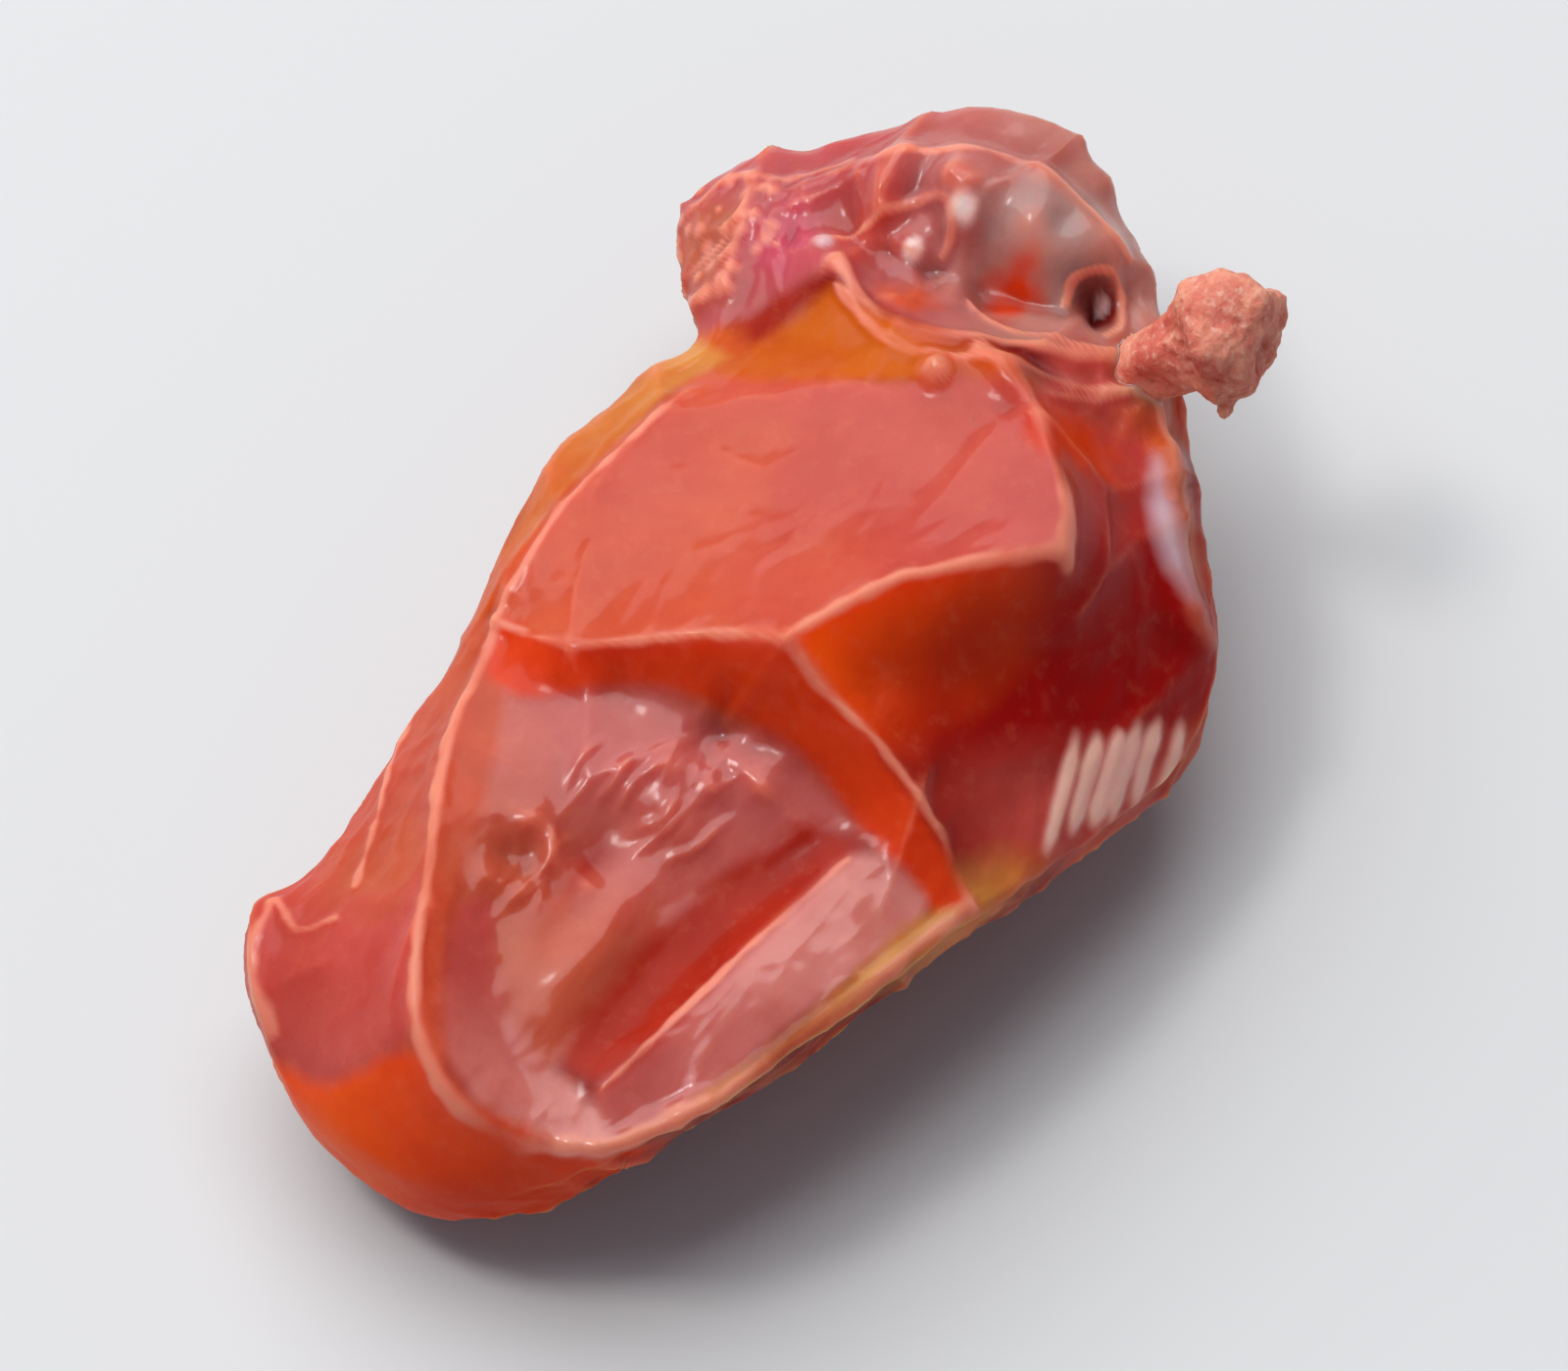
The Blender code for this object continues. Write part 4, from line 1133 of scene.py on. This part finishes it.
class Finish:
    """A material whose nodes are added by one method."""

    def __init__(self, name):
        self.material = bpy.data.materials.new(name)
        self.material.use_nodes = True
        self.tree = self.material.node_tree
        self.shader = self.tree.nodes["Principled BSDF"]

    def put(self, node, sockets):
        for key, value in sockets.items():
            if isinstance(value, Value):
                self.tree.links.new(value.socket, node.inputs[key])
            else:
                node.inputs[key].default_value = value

    def node(self, kind, settings=None, sockets=None, output=0):
        made = self.tree.nodes.new(kind)
        for name, value in (settings or {}).items():
            setattr(made, name, value)
        self.put(made, sockets or {})
        return Value(self, made.outputs[output])

    def number(self, name):
        """A number that was kept on the mesh's points."""
        return self.node("ShaderNodeAttribute", {"attribute_name": name}, output="Fac")

    def grain(self, vector, size, detail=4, roughness=0.6, distortion=0):
        """Noise from 0 to 1 whose waves are about a size in millimetres long."""
        sockets = {"Vector": vector, "Scale": 1 / (size * MM), "Detail": detail}
        sockets.update({"Roughness": roughness, "Distortion": distortion})
        return self.node("ShaderNodeTexNoise", {}, sockets)

    def mixed(self, share, first, second, how="MIX"):
        """A colour a share of the way from the first to the second."""
        settings = {"data_type": "RGBA", "blend_type": how}
        return self.node("ShaderNodeMix", settings, {0: share, 6: first, 7: second}, 2)


print("shader helpers ready")

# %% [markdown]
# ## The skin's finish
#
# Light goes into the skin, wanders through the dried pulp and comes back redder, which is what subsurface
# scattering does. On top lies a waxy gloss, broken by wrinkles far finer than the mesh. The colour starts
# from the painted panels. Noise mottles it, folds darken it and rises make it paler. The pleats are tinted
# near white as a painted glint, and the crests paler, partly for their thin skin and partly as a painted
# highlight.

# %% Mix the skin's colour
skin = Finish("berry skin")
place = skin.node("ShaderNodeTexCoord", output="Object")
mottle = skin.grain(place, 0.7, detail=5)
speckle = skin.grain(place, 0.16, detail=3)
fold = skin.number("fine_fold")
tints = [
    (mottle.smooth(0.4, 0.65), 0.3, colour(225, 140, 120), "MULTIPLY"),
    (speckle.smooth(0.5, 0.75), 0.07, colour(240, 150, 110), "MIX"),
    (fold.smooth(-0.006, -0.06), 0.6, colour(180, 100, 95), "MULTIPLY"),
    (fold.smooth(0.006, 0.04), 0.4, colour(232, 126, 98), "MIX"),
    # Pleats tinted near white: a painted glint along each pleat.
    (skin.number("stripe").smooth(0.05, 0.6), 0.85, colour(255, 194, 176), "MIX"),
    # Crests paler: partly the thin skin, partly a painted highlight.
    (skin.number("crest").smooth(0.25, 0.8), 0.85, colour(236, 142, 118), "MIX"),
]
flesh = skin.node("ShaderNodeAttribute", {"attribute_name": "painted"}, output="Color")
for where, strength, tint, how in tints:
    flesh = skin.mixed(where * strength, flesh, tint, how)
print("tints over the pigments:", len(tints))

# %% Give the skin its wrinkles and gloss
stretched = skin.node("ShaderNodeVectorMath", {"operation": "MULTIPLY"}, {0: place, 1: (1, 0.45, 1)})
wrinkle = skin.grain(stretched, 0.11, detail=6, roughness=0.55, distortion=0.6)
pores = skin.grain(place, 0.03, detail=3)
height = wrinkle + pores * 0.25
sockets = {"Strength": 0.35, "Distance": 0.02 * MM, "Height": height}
bump = skin.node("ShaderNodeBump", {}, sockets, "Normal")
waxy = skin.number("sheen")
skin.put(skin.shader, {
    "Base Color": flesh,
    "Roughness": 0.4 + (speckle - 0.5) * 0.2,
    "Normal": bump,
    "Subsurface Weight": 0.7,
    "Subsurface Radius": (1.0, 0.22, 0.06),
    "Subsurface Scale": 0.8 * MM,
    "Specular IOR Level": 0.1,
    "IOR": 1.46,
    "Coat Weight": 0.05 + waxy * 0.75,
    "Coat Roughness": 0.14,
})
berry.data.materials.clear()
berry.data.materials.append(skin.material)
print("skin nodes:", len(skin.tree.nodes))

# %% [markdown]
# ## The stalk's finish
#
# Dry bark is matte and dusty, tan with pinkish and brown patches. Its bumps are painted paler, as a
# highlight, and its pits darker, as shade. Noise in two sizes gives the patches and the flakes.

# %% Finish the stub of stalk
bark = Finish("stalk bark")
place = bark.node("ShaderNodeTexCoord", output="Object")
patches = bark.grain(place, 0.35, detail=4)
flakes = bark.grain(place, 0.07, detail=5)
wood = bark.mixed(patches.smooth(0.35, 0.65), colour(212, 102, 82), colour(236, 150, 122))
# Painted highlight: the bumps of the flakes are paler.
wood = bark.mixed(flakes.smooth(0.5, 0.75) * 0.6, wood, colour(246, 202, 180))
# Painted shade: the pits between the flakes are darker.
wood = bark.mixed(flakes.smooth(0.44, 0.25) * 0.6, wood, colour(156, 66, 48))
sockets = {"Strength": 0.9, "Distance": 0.03 * MM, "Height": flakes}
bump = bark.node("ShaderNodeBump", {}, sockets, "Normal")
bark.put(bark.shader, {
    "Base Color": wood,
    "Roughness": 0.5 + flakes * 0.3,
    "Normal": bump,
    "Subsurface Weight": 0.4,
    "Subsurface Radius": (1.0, 0.4, 0.2),
    "Subsurface Scale": 0.3 * MM,
})
stalk.data.materials.append(bark.material)
print("bark nodes:", len(bark.tree.nodes))

# %% [markdown]
# ## Standing in for the solids
#
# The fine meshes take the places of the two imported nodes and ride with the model's one body.

# %% Put the fine pieces in the model
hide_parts("berry")
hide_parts("stalk")
for piece in (berry, stalk):
    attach(piece, "root")
    print(piece.name, "has", sum(len(face.vertices) - 2 for face in piece.data.polygons), "triangles")

# %% [markdown]
# ## Floor and light
#
# A plain pale table, a big soft window behind and to the left, and a small lamp nearer the front that draws
# the glints. The window is placed where the broad panel on the berry's back mirrors it to the camera, which
# gives that panel its haze. A faint bluish sky fills the shadows.

# %% Lay the table
TABLE_HALF = 600

floor_bm = bmesh.new()
bmesh.ops.create_grid(floor_bm, x_segments=1, y_segments=1, size=TABLE_HALF * MM)
floor = make_object("floor", floor_bm, {})
table = Finish("pale table")
table.put(table.shader, {"Base Color": (0.72, 0.71, 0.7, 1), "Roughness": 0.6})
floor.data.materials.append(table.material)
print("table side in mm:", 2 * TABLE_HALF)

# %% Hang the lamps and the sky
LAMP_DISTANCE = 180
LAMPS = {
    "window": {"turn": -120, "elevation": 58, "size": 220, "power": 0.42, "light": (0.95, 0.98, 1)},
    "lamp": {"turn": -70, "elevation": 62, "size": 34, "power": 0.06, "light": (1, 0.97, 0.95)},
}
SKY_COLOUR = (0.78, 0.86, 1, 1)
SKY_STRENGTH = 0.22

for name, lamp in LAMPS.items():
    light = bpy.data.lights.new(name, "AREA")
    light.size = lamp["size"] * MM
    light.energy = lamp["power"]
    light.color = lamp["light"]
    holder = bpy.data.objects.new(name, light)
    bpy.context.scene.collection.objects.link(holder)
    aim(holder, LOOK_AT + direction(lamp["turn"], lamp["elevation"]) * LAMP_DISTANCE * MM, LOOK_AT)
world = bpy.data.worlds.new("studio")
bpy.context.scene.world = world
world.use_nodes = True
sky = world.node_tree.nodes["Background"]
sky.inputs["Color"].default_value = SKY_COLOUR
sky.inputs["Strength"].default_value = SKY_STRENGTH
bpy.context.scene.view_settings.view_transform = "Standard"
print("lamps:", list(LAMPS))
